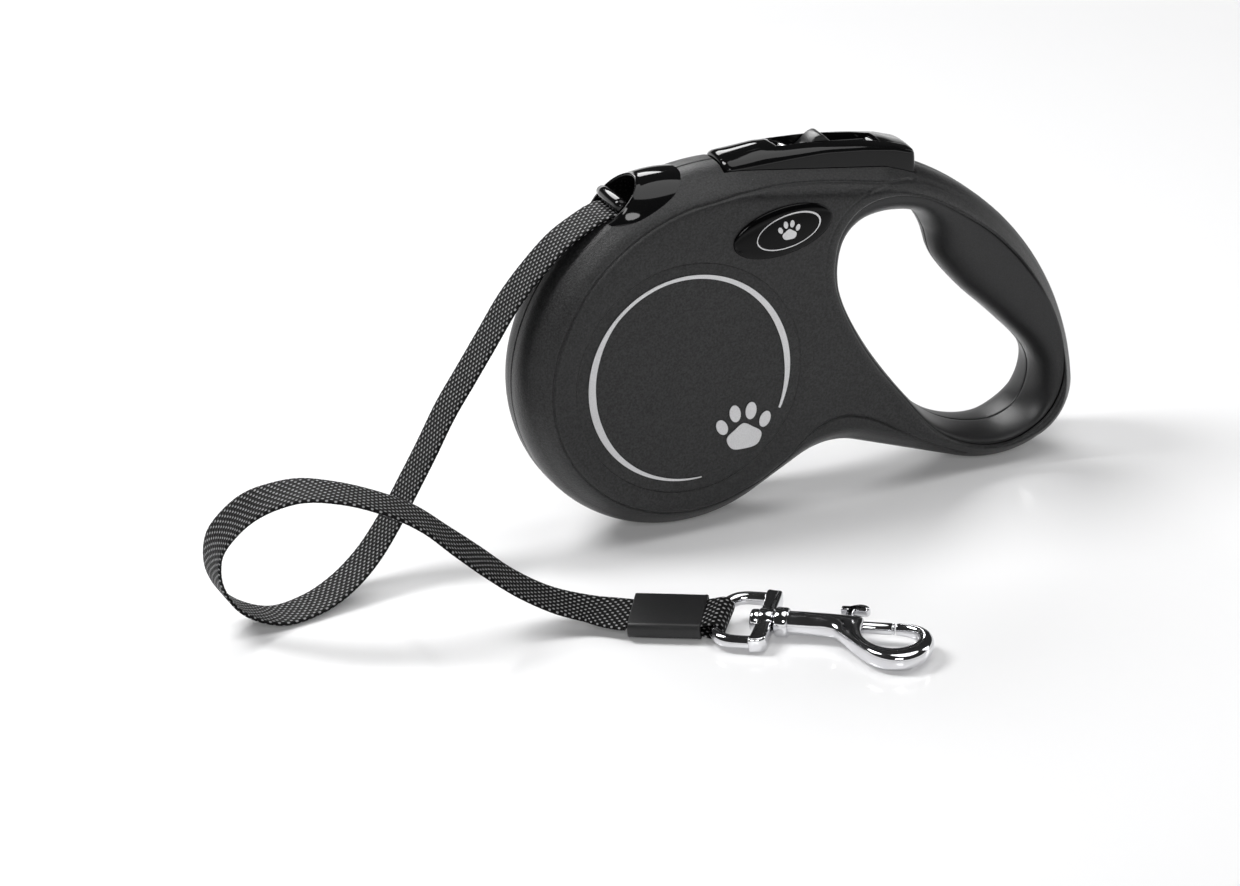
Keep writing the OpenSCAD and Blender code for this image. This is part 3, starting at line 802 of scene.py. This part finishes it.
def flat_faces(flat, border, base):
    """Triangles between the border of the flat and the hand opening, whose points start at number base."""
    count, n_edge = len(border), len(EDGE)
    edges = [(i, (i + 1) % count) for i in range(count)]
    edges += [(count + i, count + (i + 1) % n_edge) for i in range(n_edge)]
    coords, _, triangles, source, _, _ = delaunay_2d_cdt([Vector(p) for p in flat], edges, [], 0, 1e-5)
    centres = np.array([[sum(coords[v][k] for v in t) / 3 for k in (0, 1)] for t in triangles])
    keep = inside(centres, border) & ~inside(centres, EDGE)
    index = [s[0] if s else None for s in source]
    return [tuple(base + index[v] for v in t) for t, ok in zip(triangles, keep)
            if ok and None not in (index[t[0]], index[t[1]], index[t[2]])]


def rim_tilt(inset, depth):
    """Angle of the rim's surface: none faces out from the outline, and a right angle faces the front."""
    if depth < 0.3:
        return math.radians(-50)
    if depth < 0.4:
        return math.radians(-20)
    if depth <= LAND:
        return 0.0
    if inset <= ROUND_INSETS[0]:
        return math.asin(min(1, (depth - LAND) / RIM_R))
    return math.atan2(1, float(rim_height(inset + 0.01) - rim_height(inset - 0.01)) / 0.02)


def make_case_front():
    """The front shell: rings of the rim, then the panel with its lines and the roll of the opening."""
    stations = PARTING_STEP + [(rim_inset(depth), depth) for depth in ROUND_DEPTHS]
    stations += [(inset, float(rim_height(inset))) for inset in ROUND_INSETS]
    rings = [outline(inset) for inset, _ in stations]
    depths = [depth for _, depth in stations]
    border = outline(RIM_DEPTH)
    flat = np.concatenate([border, EDGE, case_points()])
    verts = [np.stack([r[:, 0], np.full(len(r), -y), r[:, 1]], 1) for r, y in zip(rings, depths)]
    verts.append(np.stack([flat[:, 0], -case_height(flat), flat[:, 1]], 1))
    faces = rim_faces(rings, depths) + flat_faces(flat, border, len(rings) * len(border))
    shell = fix_normals(new_object("front_case_shell", np.concatenate(verts), faces))
    outward = -unit(outline(1.0) - outline())
    normals = []
    for tilt in [rim_tilt(*station) for station in stations]:
        normals.append(np.stack([outward[:, 0] * math.cos(tilt), np.full(len(border), -math.sin(tilt)),
                                 outward[:, 1] * math.cos(tilt)], 1))
    normals = unit(np.concatenate(normals + [surface_normals(flat)]))
    shell.data.normals_split_custom_set_from_vertices([tuple(n) for n in normals])
    return shell


front_case = make_case_front()
dress(front_case, CASE, ROOT, "case", "front_shell")
rear_case = mirrored(front_case, "rear_case_shell")
dress(rear_case, CASE, ROOT, "case", "rear_shell")


# Angles around the round of the lining, and how far the first ones step out at the parting line.
GRIP_ANGLES = (0, 1, 3, 8, 15, 22, 30, 38, 46, 54, 62, 70, 77, 83, 87, 90)
GRIP_STEP = {0: 0.3, 1: 0.08}


def make_grip():
    """Front half of the lining: a broad round from the edge at the panel to the waist."""
    rings = []
    top = HALF_T - ROLL_DROP - 0.05
    for angle in GRIP_ANGLES:
        a = math.radians(angle)
        ring = WAIST + (EDGE - WAIST) * (1 - math.cos(a))
        if angle in GRIP_STEP:
            ring = moved(ring, GRIP_STEP[angle])
        rings.append(np.stack([ring[:, 0], np.full(len(ring), -top * math.sin(a)), ring[:, 1]], 1))
    lip = moved(EDGE, 0.5)
    rings.append(np.stack([lip[:, 0], np.full(len(lip), -top + 0.8), lip[:, 1]], 1))
    return fix_normals(loft("front_grip_lining", rings, caps=(False, False)))


front_grip = make_grip()
dress(front_grip, GRIP, ROOT, "grip", "front_grip")
rear_grip = mirrored(front_grip, "rear_grip_lining")
dress(rear_grip, GRIP, ROOT, "grip", "rear_grip")


# ------------ shapes for the small pieces

def to_side(a, b, h):
    """A flat shape drawn in X and Z, with its thickness along Y."""
    return (a, h, b)


def to_plan(a, b, h):
    """A flat shape drawn in X and Y, with its thickness along Z."""
    return (a, b, h)


def clockwise(points):
    """The same closed curve, running clockwise."""
    pts = np.asarray(points, float)
    following = np.roll(pts, -1, 0)
    area = (pts[:, 0] * following[:, 1] - following[:, 0] * pts[:, 1]).sum() / 2
    return pts[::-1] if area > 0 else pts


def plate(name, points, low, high, axes=to_side, bevel=0.0):
    """A flat shape given thickness, with round edges where bevel is more than 0."""
    pts = clockwise(points)
    levels = [(low, 0.0), (high, 0.0)]
    if bevel:
        turns = np.radians([0, 22, 45, 68, 90])
        start = [(low + bevel * (1 - math.sin(a)), bevel * (1 - math.cos(a))) for a in turns[::-1]]
        levels = start + [(high + low - h, inset) for h, inset in start[::-1]]
    rings = [[axes(a, b, h) for a, b in moved(pts, -inset)] for h, inset in levels]
    return fix_normals(loft(name, rings, smooth_faces=bool(bevel)))


def turned(name, profile, count=40, axis=((0, 0, 0), (1, 0, 0), (0, 1, 0), (0, 0, 1))):
    """A solid of revolution from (distance along, radius), about an origin and three directions."""
    origin, along, u, v = (np.array(a, float) for a in axis)
    angles = np.linspace(0, 2 * math.pi, count, endpoint=False)
    rings = [origin + along * d + r * (np.outer(np.cos(angles), u) + np.outer(np.sin(angles), v))
             for d, r in profile]
    return fix_normals(loft(name, rings))


def tube(name, path, radius, count):
    """A round wire along a path."""
    tangent = unit(np.gradient(path, axis=0))
    u = unit(np.cross(tangent, [0.02, 0.03, 1.0]))
    v = np.cross(tangent, u)
    angles = np.linspace(0, 2 * math.pi, count, endpoint=False)
    rings = [p + radius * (np.outer(np.cos(angles), a) + np.outer(np.sin(angles), b))
             for p, a, b in zip(path, u, v)]
    return fix_normals(loft(name, rings))


def strip(name, outer, inner, low, high, closed=True):
    """A flat line between two curves of as many points, given thickness along Y."""
    count = len(outer)
    verts = [(x, y, z) for y in (low, high) for curve in (outer, inner) for x, z in curve]
    faces = []
    for i in range(count if closed else count - 1):
        j = (i + 1) % count
        a, b, c, d = i, count + i, 2 * count + i, 3 * count + i
        a2, b2, c2, d2 = j, count + j, 2 * count + j, 3 * count + j
        faces += [(a, a2, b2, b), (c, d, d2, c2), (a, c, c2, a2), (b, b2, d2, d)]
    if not closed:
        last = count - 1
        faces += [(0, count, 3 * count, 2 * count), (last, 2 * count + last, 3 * count + last, count + last)]
    return fix_normals(new_object(name, verts, faces, smooth_faces=False))


def smooth_by_angle(obj, degrees=35):
    """Shades flat across edges sharper than an angle."""
    obj.data.set_sharp_from_angle(angle=math.radians(degrees))
    return obj


# ------------ slot and nozzle

def slot_end(x, z, depths):
    """Points across one end of the slot."""
    return [(x, y, z - rim_inset(y)) for y in depths]


def make_slot_wall():
    """Inner walls of the slot that the button sits in."""
    crown = sorted((float(x), float(z)) for x, z in OUTLINE if over_slot((x, z), 0))
    depths = np.linspace(-SLOT_HALF, SLOT_HALF, 13)[1:-1]
    inset = rim_inset(SLOT_HALF)
    top = [(x, -SLOT_HALF, z - inset) for x, z in crown] + slot_end(*crown[-1], depths)
    top += [(x, SLOT_HALF, z - inset) for x, z in crown[::-1]] + slot_end(*crown[0], depths[::-1])
    verts = np.array(top + [(x, y, z - SLOT_DEEP) for x, y, z in top])
    return smooth_by_angle(new_object("slot_wall", verts, ring_faces(2, len(top), flip=True)))


dress(make_slot_wall(), CASE, ROOT, "case")

MOUTH = np.array([-50.5, 0.0, 94.3])
MOUTH_UP = np.array([0.743, 0.0, 0.669])
MOUTH_OUT = np.array([-0.669, 0.0, 0.743])
MOUTH_HALF = (9.3, 8.6)
CROWN_OUT = np.array([-0.332, 0.0, 0.943])
SIDEWAYS = np.array([0.0, 1.0, 0.0])
# Lip and funnel of the mouth: size against the mouth's edge, and how far out.
MOUTH_LIP = [
    (0.995, 0.18), (0.975, 0.33), (0.95, 0.36), (0.925, 0.24), (0.905, -0.1), (0.89, -0.8), (0.875, -2.0),
    (0.86, -3.6), (0.84, -5.4), (0.82, -7.4),
]
GUIDE_AT = (-50.3, 0, 94.8)
GUIDE_PROFILE = [(-7.6, 0.2), (-7.5, 1.5), (-5, 1.9), (0, 2.05), (5, 1.9), (7.5, 1.5), (7.6, 0.2)]


def on_crown(along, across, sunk):
    """Point on the top of the case, a distance along its crown from the nozzle and across it."""
    angle = NOZZLE_ANGLE + math.degrees(along / CROWN[2])
    x, z = arc_point(CROWN, angle, rim_inset(across) + sunk)
    return np.array([x, across, z])


def make_nozzle():
    """Glossy outlet: a hood that grows out of the case and ends in a round lipped mouth."""
    phis = np.linspace(0, 2 * math.pi, 64, endpoint=False)
    mouth = np.array([MOUTH + MOUTH_HALF[0] * math.cos(p) * MOUTH_UP + MOUTH_HALF[1] * math.sin(p) * SIDEWAYS
                      for p in phis])
    base = np.array([on_crown(NOZZLE_MIDDLE - NOZZLE_REACH * math.cos(p),
                              NOZZLE_HALF * math.copysign(abs(math.sin(p)) ** 0.8, math.sin(p)), 0.5)
                     for p in phis])
    lean = unit(np.array([CROWN_OUT * 0.7 + 0.7 * math.sin(p) * SIDEWAYS for p in phis]))
    middle = (mouth + base) / 2 + 1.3 * lean
    rings = [(1 - t) ** 2 * base + 2 * t * (1 - t) * middle + t ** 2 * mouth for t in np.linspace(0, 1, 14)]
    rings += [MOUTH + (mouth - MOUTH) * scale + MOUTH_OUT * out for scale, out in MOUTH_LIP]
    return fix_normals(loft("outlet_hood", rings, caps=(False, True)))


dress(make_nozzle(), GLOSS, ROOT, "gloss", "outlet_nozzle")
guide = turned("outlet_guide", GUIDE_PROFILE, 32, (GUIDE_AT, (0, 1, 0), (1, 0, 0), (0, 0, 1)))
dress(guide, GLOSS, ROOT, "gloss")


def make_lead_in():
    """Tape between the mouth and the reel, under the guide."""
    path = open_curve([(-44.5, 0, 84.5), (-48, 0, 89.0), (-51.5, 0, 92.2), (-56.4, 0, 91.2)], 8)
    across = np.repeat(SIDEWAYS[None], len(path), 0)
    through = np.cross(unit(np.gradient(path, axis=0)), across)
    piece, _ = sweep_ribbon("tape_lead_in", path, across, through, TAPE_W, TAPE_T - 0.02)
    return piece


dress(make_lead_in(), WEAVE, ROOT, "tape")


# ------------ brake button, lock and indicator

BUTTON_HALF = 7.5
CHANNEL_HALF = 3.5
# Height along the button of its top, of its upper edge, of its base and of the slider's channel.
TOP_LINE = [
    (-20.4, 101.2), (-19.9, 102.0), (-18.6, 102.6), (-8.3, 103.4), (5, 102.4), (12.9, 101.4), (21.8, 99.8),
    (30, 97.7), (35.5, 95.7),
]
SIDE_LINE = [
    (-20.4, 100.0), (-18.8, 100.3), (-13.6, 100.2), (-1.7, 100.3), (8.7, 100.2), (20.5, 98.8), (29.4, 97.2),
    (35.5, 95.1),
]
BASE_LINE = [(-20.4, 98.6), (-18.6, 97.6), (-10.4, 95.6), (-9.4, 93.4), (9, 91), (34.4, 88.6), (35.5, 88.8)]
FLOOR_LINE = [(-5, 103.2), (-0.6, 100.7), (1.7, 99.7), (4, 99.2), (15, 98.2), (26.4, 96.8), (26.9, 97.2)]
# Stations along the button: at its ends x, half-width and inset, and between them x alone.
BUTTON_NOSE = [(-20.4, 4.9, 0.35), (-20.3, 5.6, 0.12), (-20.0, 6.4, 0), (-19.5, 7.0, 0), (-18.8, 7.35, 0)]
BUTTON_BODY = [
    -17.6, -16, -14, -12, -10, -8.3, -6.6, -5.1, -4.95, -4, -3, -2, -1.2, -0.6, 0, 0.6, 1.1, 1.7, 2.6, 4,
    *range(6, 25, 2), 26.3, 26.45, 26.85, 27, 28, 29.5, 31, 32.5, 34,
]
BUTTON_TAIL = [(34.8, 7.42, 0.0), (35.2, 7.2, 0.08), (35.42, 6.9, 0.3), (35.5, 6.6, 0.6)]
SLIDER_PROFILE = [
    (4.3, 99.25), (5.6, 100.5), (7.2, 101.9), (8.6, 102.75), (9.8, 102.95), (10.7, 102.6), (11.9, 101.4),
    (13.3, 99.8), (14.7, 98.5), (14.5, 98.15), (9.5, 98.6),
]
TAIL_PROFILE = [(24.0, 97.2), (25.0, 98.1), (26.2, 98.0), (26.6, 97.0), (25.2, 96.8)]
MARK_PROFILE = [(-0.9, 100.75), (-0.8, 101.15), (1.9, 99.95), (2.2, 99.55)]
SPRING_FOOT = (4.0, -3.6, 82.85)
SPRING_LOW = 0.35
SPRING_HIGH = 7.85
SPRING_TURNS = 5
SPRING_R = 2.2
SPRING_WIRE_R = 0.35


def line_at(line, x):
    """Height of a line of points at x."""
    return float(np.interp(x, [p[0] for p in line], [p[1] for p in line]))


def button_section(x, half, inset):
    """Closed cross-section of the button, with round edges, a crowned top and the slider's channel."""
    top = line_at(TOP_LINE, x) - inset
    side = line_at(SIDE_LINE, x) - inset
    base = line_at(BASE_LINE, x) + inset

    def crown(y):
        return side + (top - side) * (1 - (y / half) ** 2)

    right = [(0.0, base), (0.6 * half, base), (half - 0.4, base), (half, base + 0.4), (half, side - 1.4),
             (half - 0.05, side - 0.8), (half - 0.22, side - 0.35), (half - 0.55, side - 0.02),
             (half - 1.0, crown(half - 1.0)), (half - 2.0, crown(half - 2.0)), (4.3, crown(4.3)),
             (3.8, crown(3.8)), (3.62, crown(3.62) - 0.03)]
    floor = line_at(FLOOR_LINE, x)
    open_here = FLOOR_LINE[0][0] < x < FLOOR_LINE[-1][0]
    for y in (CHANNEL_HALF, 3.35, 1.7, 0.0):
        right.append((y, min(floor + (0.12 if y > 3.4 else 0), crown(y)) if open_here else crown(y)))
    left = [(-y, z) for y, z in right[-2:0:-1]]
    return [(x, -y, z) for y, z in right + left]


def make_button():
    """Brake button, lofted along the case."""
    stations = BUTTON_NOSE + [(x, BUTTON_HALF, 0.0) for x in BUTTON_BODY] + BUTTON_TAIL
    button = fix_normals(loft("brake_button_top", [button_section(*s) for s in stations]))
    return smooth_by_angle(button, 38)


def make_button_spring():
    """Return spring under the button, a helix of round wire."""
    angles = np.linspace(0, 2 * math.pi * SPRING_TURNS, SPRING_TURNS * 24 + 1)
    path = np.stack([SPRING_FOOT[0] + SPRING_R * np.cos(angles), SPRING_FOOT[1] + SPRING_R * np.sin(angles),
                     SPRING_FOOT[2] + np.linspace(SPRING_LOW, SPRING_HIGH, len(angles))], 1)
    return tube("button_return_spring", path, SPRING_WIRE_R, 10)


dress(make_button(), GLOSS, "brake", "gloss", "brake_button")
slider = plate("lock_slider_fin", closed_curve(SLIDER_PROFILE, 4), -3.2, 3.2, bevel=0.45)
dress(slider, SLIDER, "lock", "slider", "lock_slider")
tail_tab = plate("button_tail_detail", closed_curve(TAIL_PROFILE, 4), -2.2, 2.2, bevel=0.3)
dress(tail_tab, GLOSS, "brake", "gloss")
indicator = plate("lock_mark", MARK_PROFILE, -1.8, 1.8, bevel=0.12)
dress(indicator, WHITE, "brake", "indicator", "lock_indicator")
button_spring = dress(make_button_spring(), STEEL, ROOT, "steel", "button_spring")
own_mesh(button_spring)


# ------------ badge, ring and paw marks

BADGE_AT = (-7.6, 82.6)
BADGE_TILT = 8.0
BADGE_HALF = (14.6, 6.8)
BADGE_RINGS = (1.0, 0.99, 0.97, 0.94, 0.9, 0.84, 0.76, 0.66, 0.54, 0.4, 0.25, 0.1)
INK = 0.1
RING_R = 29.4
# Width of the ring print at some angles around the disc.
RING_ANGLES = (-28, -15, 0, 20, 60, 100, 135, 160, 180, 200, 240, 274)
RING_WIDTHS = (0.6, 1.2, 1.7, 1.8, 1.3, 0.9, 1.0, 1.8, 2.1, 2.0, 1.0, 0.3)
PAW_PAD = [
    (0, -0.92), (0.72, -0.8), (0.98, -0.2), (0.5, 0.22), (0, 0.5), (-0.5, 0.22), (-0.98, -0.2),
    (-0.72, -0.8),
]
# Toes of the paw: centre, half-width, half-height and turn.
PAW_TOES = [
    (-1.22, 0.5, 0.3, 0.45, 24), (-0.45, 1.12, 0.31, 0.48, 8), (0.45, 1.12, 0.31, 0.48, -8),
    (1.22, 0.5, 0.3, 0.45, -24),
]


def paw(name, cx, cz, size, low, high):
    """A generic paw mark: one pad and four toes."""
    shapes = [closed_curve(PAW_PAD, 6)] + [ellipse(*toe, 24) for toe in PAW_TOES]
    parts = [plate(f"{name}_{i}", np.array([cx, cz]) + size * shape, low, high)
             for i, shape in enumerate(shapes)]
    return join(parts, name)


def dome(scale):
    """Height of the badge at a fraction of the way out to its edge."""
    return float(0.1 + 1.35 * np.sqrt(np.clip(1.0 - scale ** 2.4, 0, 1)))


def make_badge():
    """Domed oval badge."""
    rings = []
    for scale in BADGE_RINGS:
        flat = ellipse(*BADGE_AT, BADGE_HALF[0] * scale, BADGE_HALF[1] * scale, BADGE_TILT, 72)
        rings.append([(x, -HALF_T - dome(scale), z) for x, z in flat])
    foot = [(x, -HALF_T + 0.2, z) for x, _, z in rings[0]]
    return fix_normals(loft("front_badge_dome", [foot] + rings))


def on_badge(obj):
    """Bends a flat mark, made about height 0, over the dome of the badge."""
    t = math.radians(-BADGE_TILT)
    for vertex in obj.data.vertices:
        x, z = vertex.co.x / MM - BADGE_AT[0], vertex.co.z / MM - BADGE_AT[1]
        a, b = x * math.cos(t) - z * math.sin(t), x * math.sin(t) + z * math.cos(t)
        scale = math.hypot(a / BADGE_HALF[0], b / BADGE_HALF[1])
        vertex.co.y -= (HALF_T + dome(scale)) * MM
    return obj


def make_marks():
    """Printed line and paw on the badge, and printed ring and paw on the disc."""
    line = on_badge(strip("front_badge_line", ellipse(-6.4, 82.8, 9.6, 4.7, BADGE_TILT + 3, 64),
                          ellipse(-6.5, 82.75, 9.2, 4.4, BADGE_TILT + 2, 64), 0.04, -0.05))
    badge_paw = on_badge(paw("front_badge_paw", -6.4, 82.4, 2.1, 0.06, -0.07))
    angles = np.radians(np.linspace(RING_ANGLES[0], RING_ANGLES[-1], 150))
    width = np.interp(np.degrees(angles), RING_ANGLES, RING_WIDTHS)
    arc = np.stack([np.cos(angles), np.sin(angles)], 1)
    ring = strip("front_ring_print", DRUM + RING_R * arc, DRUM + (RING_R - width)[:, None] * arc,
                 -HALF_T + 0.1, -HALF_T - INK, closed=False)
    disc_paw = paw("front_disc_paw", -21.5, 27.0, 5.2, -HALF_T + 0.1, -HALF_T - INK)
    return line, badge_paw, ring, disc_paw


def both_sides(piece, material, slot, kind=None):
    """Dresses a front piece and its mirror image at the rear, each in place of its own CAD node when a kind
    is given.
    """
    rear = mirrored(piece, piece.name.replace("front", "rear"))
    nodes = (["front_" + kind], ["rear_" + kind]) if kind else ([], [])
    dress(piece, material, ROOT, slot, *nodes[0])
    dress(rear, material, ROOT, slot, *nodes[1])


both_sides(make_badge(), BADGE, "badge", "badge")
badge_line, badge_paw, disc_ring, disc_paw = make_marks()
both_sides(badge_line, SILVER, "print")
both_sides(badge_paw, SILVER, "print")
both_sides(disc_ring, SILVER, "print", "ring")
both_sides(disc_paw, SILVER, "print")


# ------------ sleeve, loop, shackle and hook

def in_frame(obj, at, turn, roll):
    """Moves a piece made about the origin to its place, lying along a direction."""
    turned_to = Matrix.Rotation(turn, 4, "Z") @ Matrix.Rotation(roll, 4, "X")
    obj.data.transform(Matrix.Translation(Vector(at) * MM) @ turned_to)
    return obj


def on_hook(obj, roll):
    """Moves a piece made along X to the place of the hook."""
    return in_frame(obj, HOOK_AT, HOOK_TURN, roll)


CORNER_STEPS = 6
SLEEVE_AT = (-67.5, -68.9, 4.2)
SLEEVE_TURN = math.radians(-32)
# Rings of the sleeve: x and how far inside its full section.
SLEEVE_RINGS = [
    (-8.2, 0.75), (-9.5, 0.6), (-9.7, 0.35), (-9.7, 0.12), (-9.4, 0.0), (0, -0.02), (8.6, 0.0), (9.3, -0.1),
    (9.6, 0.02), (9.7, 0.3), (9.5, 0.6), (8.2, 0.75),
]


def rounded_bar(half_y, half_z, radius):
    """Closed section of a bar with round corners, in Y and Z."""
    out = []
    for cy, cz, start in [(half_y - radius, half_z - radius, 0), (radius - half_y, half_z - radius, 90),
                          (radius - half_y, radius - half_z, 180), (half_y - radius, radius - half_z, 270)]:
        turns = [math.radians(start + 90 * k / CORNER_STEPS) for k in range(CORNER_STEPS + 1)]
        out += [(cy + radius * math.cos(a), cz + radius * math.sin(a)) for a in turns]
    return out


def make_sleeve():
    """Moulded sleeve over the tape's end."""
    rings = [[(x, y, z) for y, z in rounded_bar(8.1 - inset, 2.25 - inset, 1.5 - min(inset, 0.6))]
             for x, inset in SLEEVE_RINGS]
    sleeve = fix_normals(loft("tape_sleeve_moulding", rings))
    return in_frame(sleeve, SLEEVE_AT, SLEEVE_TURN, SHACKLE_ROLL)


dress(make_sleeve(), SLEEVE, ROOT, "sleeve", "tape_sleeve")

BAR_X = -6.4
WIRE_R = 1.8
FOLD_R = 2.35
FOLD_T = 0.95
FOLD_ANGLES = (115, 90, 65, 40, 20, 0, -20, -40, -65, -90, -115)
# Front half of the shackle's wire, and the outline of its crossbar.
SHACKLE_WIRE = [(4.2, 10.2), (1.2, 10.25), (-1.4, 10.1), (-3.6, 9.3), (-5.3, 7.4), (-6.2, 4.6), (-6.4, 1.6)]
CROSSBAR = [
    (4.0, -11.7), (5.6, -12.0), (7.3, -11.6), (8.25, -10.3), (8.35, -8.0), (8.35, 0), (8.35, 8.0),
    (8.3, 10.6), (7.9, 11.8), (6.2, 12.0), (4.0, 11.7), (4.15, 6), (4.15, -6),
]
# Turned parts of the hook: distance along it and radius.
BOSS = [(4.15, 1.9), (4.2, 2.7), (4.6, 3.3), (5.2, 3.55), (7.6, 3.55), (8.2, 3.3), (8.4, 2.8), (8.42, 1.9)]
RIVET = [
    (2.1, 0.2), (2.12, 1.8), (2.2, 2.6), (2.45, 2.95), (2.9, 3.1), (4.2, 3.1), (4.5, 2.9), (4.6, 1.7),
    (13.0, 1.7), (13.1, 0.3),
]
COLLAR = [
    (8.6, 2.2), (8.65, 3.3), (8.9, 3.75), (9.4, 4.0), (11.6, 4.0), (12.1, 3.85), (12.45, 3.4), (12.6, 2.9),
]
BOLT = [
    (24.6, 0.3), (24.6, 1.4), (24.8, 1.58), (39.6, 1.58), (39.75, 1.3), (39.95, 1.3), (40.1, 1.55),
    (40.4, 1.4), (40.5, 0.9), (40.5, 0.2),
]
LEVER = [
    (24.5, 7.4), (25.6, 8.2), (27.4, 9.5), (29.2, 10.2), (31, 9.9), (32.1, 8.7), (31.6, 7.5), (30, 7.5),
    (28, 7.6), (26, 7.35),
]
STEM_AXIS = ((27.2, 0, 0), (0, 1, 0), (1, 0, 0), (0, 0, 1))


def make_end_loop():
    """Tape folded round the bar of the shackle and back into the sleeve."""
    wrap = [(BAR_X + FOLD_R * math.cos(math.radians(a)), FOLD_R * math.sin(math.radians(a)))
            for a in FOLD_ANGLES]
    path = [(BAR_X - 6.5, 0.95), (BAR_X - 4.4, 1.2)] + wrap + [(BAR_X - 4.4, -1.2), (BAR_X - 6.5, -0.95)]
    path = open_curve([(x, 0.0, z) for x, z in path], 3)
    across = np.repeat(SIDEWAYS[None], len(path), 0)
    through = np.cross(unit(np.gradient(path, axis=0)), across)
    loop, _ = sweep_ribbon("tape_end_fold", path, across, through, TAPE_W - 0.4, FOLD_T)
    return on_hook(loop, SHACKLE_ROLL)


dress(make_end_loop(), WEAVE, ROOT, "tape", "tape_end_loop")


def make_shackle():
    """Cast D shackle: a round wire loop that flattens into a crossbar with a boss for the rivet."""
    bend = [(x, y, 0.0) for x, y in SHACKLE_WIRE] + [(x, -y, 0.0) for x, y in SHACKLE_WIRE[::-1]]
    wire = tube("swivel_shackle_wire", open_curve(bend, 6), WIRE_R, 24)
    bar = plate("bar", closed_curve(CROSSBAR, 4), -2.15, 2.15, axes=to_plan, bevel=0.8)
    return on_hook(join([wire, bar, turned("boss", BOSS)], "swivel_shackle_casting"), SHACKLE_ROLL)


def make_rivet():
    """Rivet that the hook turns on."""
    return on_hook(turned("swivel_rivet_head", RIVET), HOOK_ROLL)


# Cast hook seen flat: points along its inside and outside, with the half-thickness and squareness there.
HOOK_LINES = [
    ((12.4, 3.2), (12.4, -3.2), 3.2, 2.0), ((16, 3.2), (16, -3.2), 3.2, 2.0),
    ((20, 3.15), (19.4, -3.25), 3.1, 2.1), ((24, 3.1), (22.4, -3.5), 2.85, 2.6),
    ((28, 3.1), (24.6, -4.1), 2.6, 3.0), ((31.2, 2.9), (26.2, -5.3), 2.5, 3.2),
    ((32.2, 0.8), (27.8, -6.9), 2.5, 3.2), ((32.3, -2.2), (29.6, -8.9), 2.5, 3.2),
    ((32.9, -5.4), (31.8, -11.3), 2.5, 3.2), ((34.4, -8.6), (34.6, -14), 2.5, 3.1),
    ((37, -11.1), (38.3, -17), 2.5, 3.0), ((40.7, -12.6), (42.7, -18.4), 2.5, 2.9),
    ((44.4, -12.1), (47.2, -17.7), 2.5, 2.8), ((46.8, -9.7), (50.6, -14.6), 2.45, 2.7),
    ((47.9, -6.8), (52.1, -10.2), 2.35, 2.6), ((47.6, -4.4), (52, -5.9), 2.25, 2.5),
    ((46.3, -2.7), (50, -1.9), 2.05, 2.3), ((44, -1.8), (46.8, 0.6), 1.85, 2.1),
    ((41.6, -1.55), (43.0, 1.45), 1.65, 2.0), ((40.95, -1.45), (41.3, 1.5), 1.6, 2.0),
    ((40.8, -0.9), (40.95, 1.0), 1.1, 2.0),
]


def make_hook():
    """Cast hook lofted along its shank, round its eye and up to the tip that the bolt meets."""
    table = np.array([[*inner, *outer, h, n] for inner, outer, h, n in HOOK_LINES])
    angles = np.linspace(0, 2 * math.pi, 36, endpoint=False)
    c, s = np.cos(angles), np.sin(angles)
    rings = []
    for ux, uy, lx, ly, h, n in open_curve(table, 5):
        p = np.sign(c) * np.abs(c) ** (2 / n)
        q = np.sign(s) * np.abs(s) ** (2 / n)
        x = (ux + lx) / 2 + p * (ux - lx) / 2
        y = (uy + ly) / 2 + p * (uy - ly) / 2
        rings.append(np.stack([x, y, q * h], 1))
    body = smooth_by_angle(fix_normals(loft("cast", rings)), 50)
    return on_hook(join([body, turned("collar", COLLAR)], "snap_hook_casting"), HOOK_ROLL)


def make_bolt():
    """Spring bolt with its thumb lever."""
    bolt = turned("bolt", BOLT, 28)
    stem = turned("stem", [(0, 1.2), (8.4, 1.2)], 20, STEM_AXIS)
    lever = plate("lever", closed_curve(LEVER, 4), -1.4, 1.4, axes=to_plan, bevel=0.9)
    return on_hook(join([bolt, stem, lever], "snap_bolt_thumb"), HOOK_ROLL)


dress(make_shackle(), CHROME, ROOT, "chrome", "swivel_shackle")
dress(make_rivet(), CHROME, "hook", "chrome", "swivel_rivet")
dress(make_hook(), CHROME, "hook", "chrome", "snap_hook")
dress(make_bolt(), CHROME, "bolt", "chrome", "snap_bolt")


# ------------ CAD nodes that keep their shape

CAD_FINISH = {
    "outlet_pin": STEEL, "casing_screws": STEEL, "reel_axle": STEEL, "reel_hub": INNER,
    "ratchet_flange": INNER, "spring_cup": INNER, "spring_cup_cover": INNER, "power_spring": BLUED,
    "wound_tape": WEAVE, "button_pin": STEEL, "brake_claw": INNER, "snap_bolt_spring": STEEL,
}
for node, material in CAD_FINISH.items():
    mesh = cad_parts[node].data
    mesh.materials.clear()
    mesh.materials.append(material)
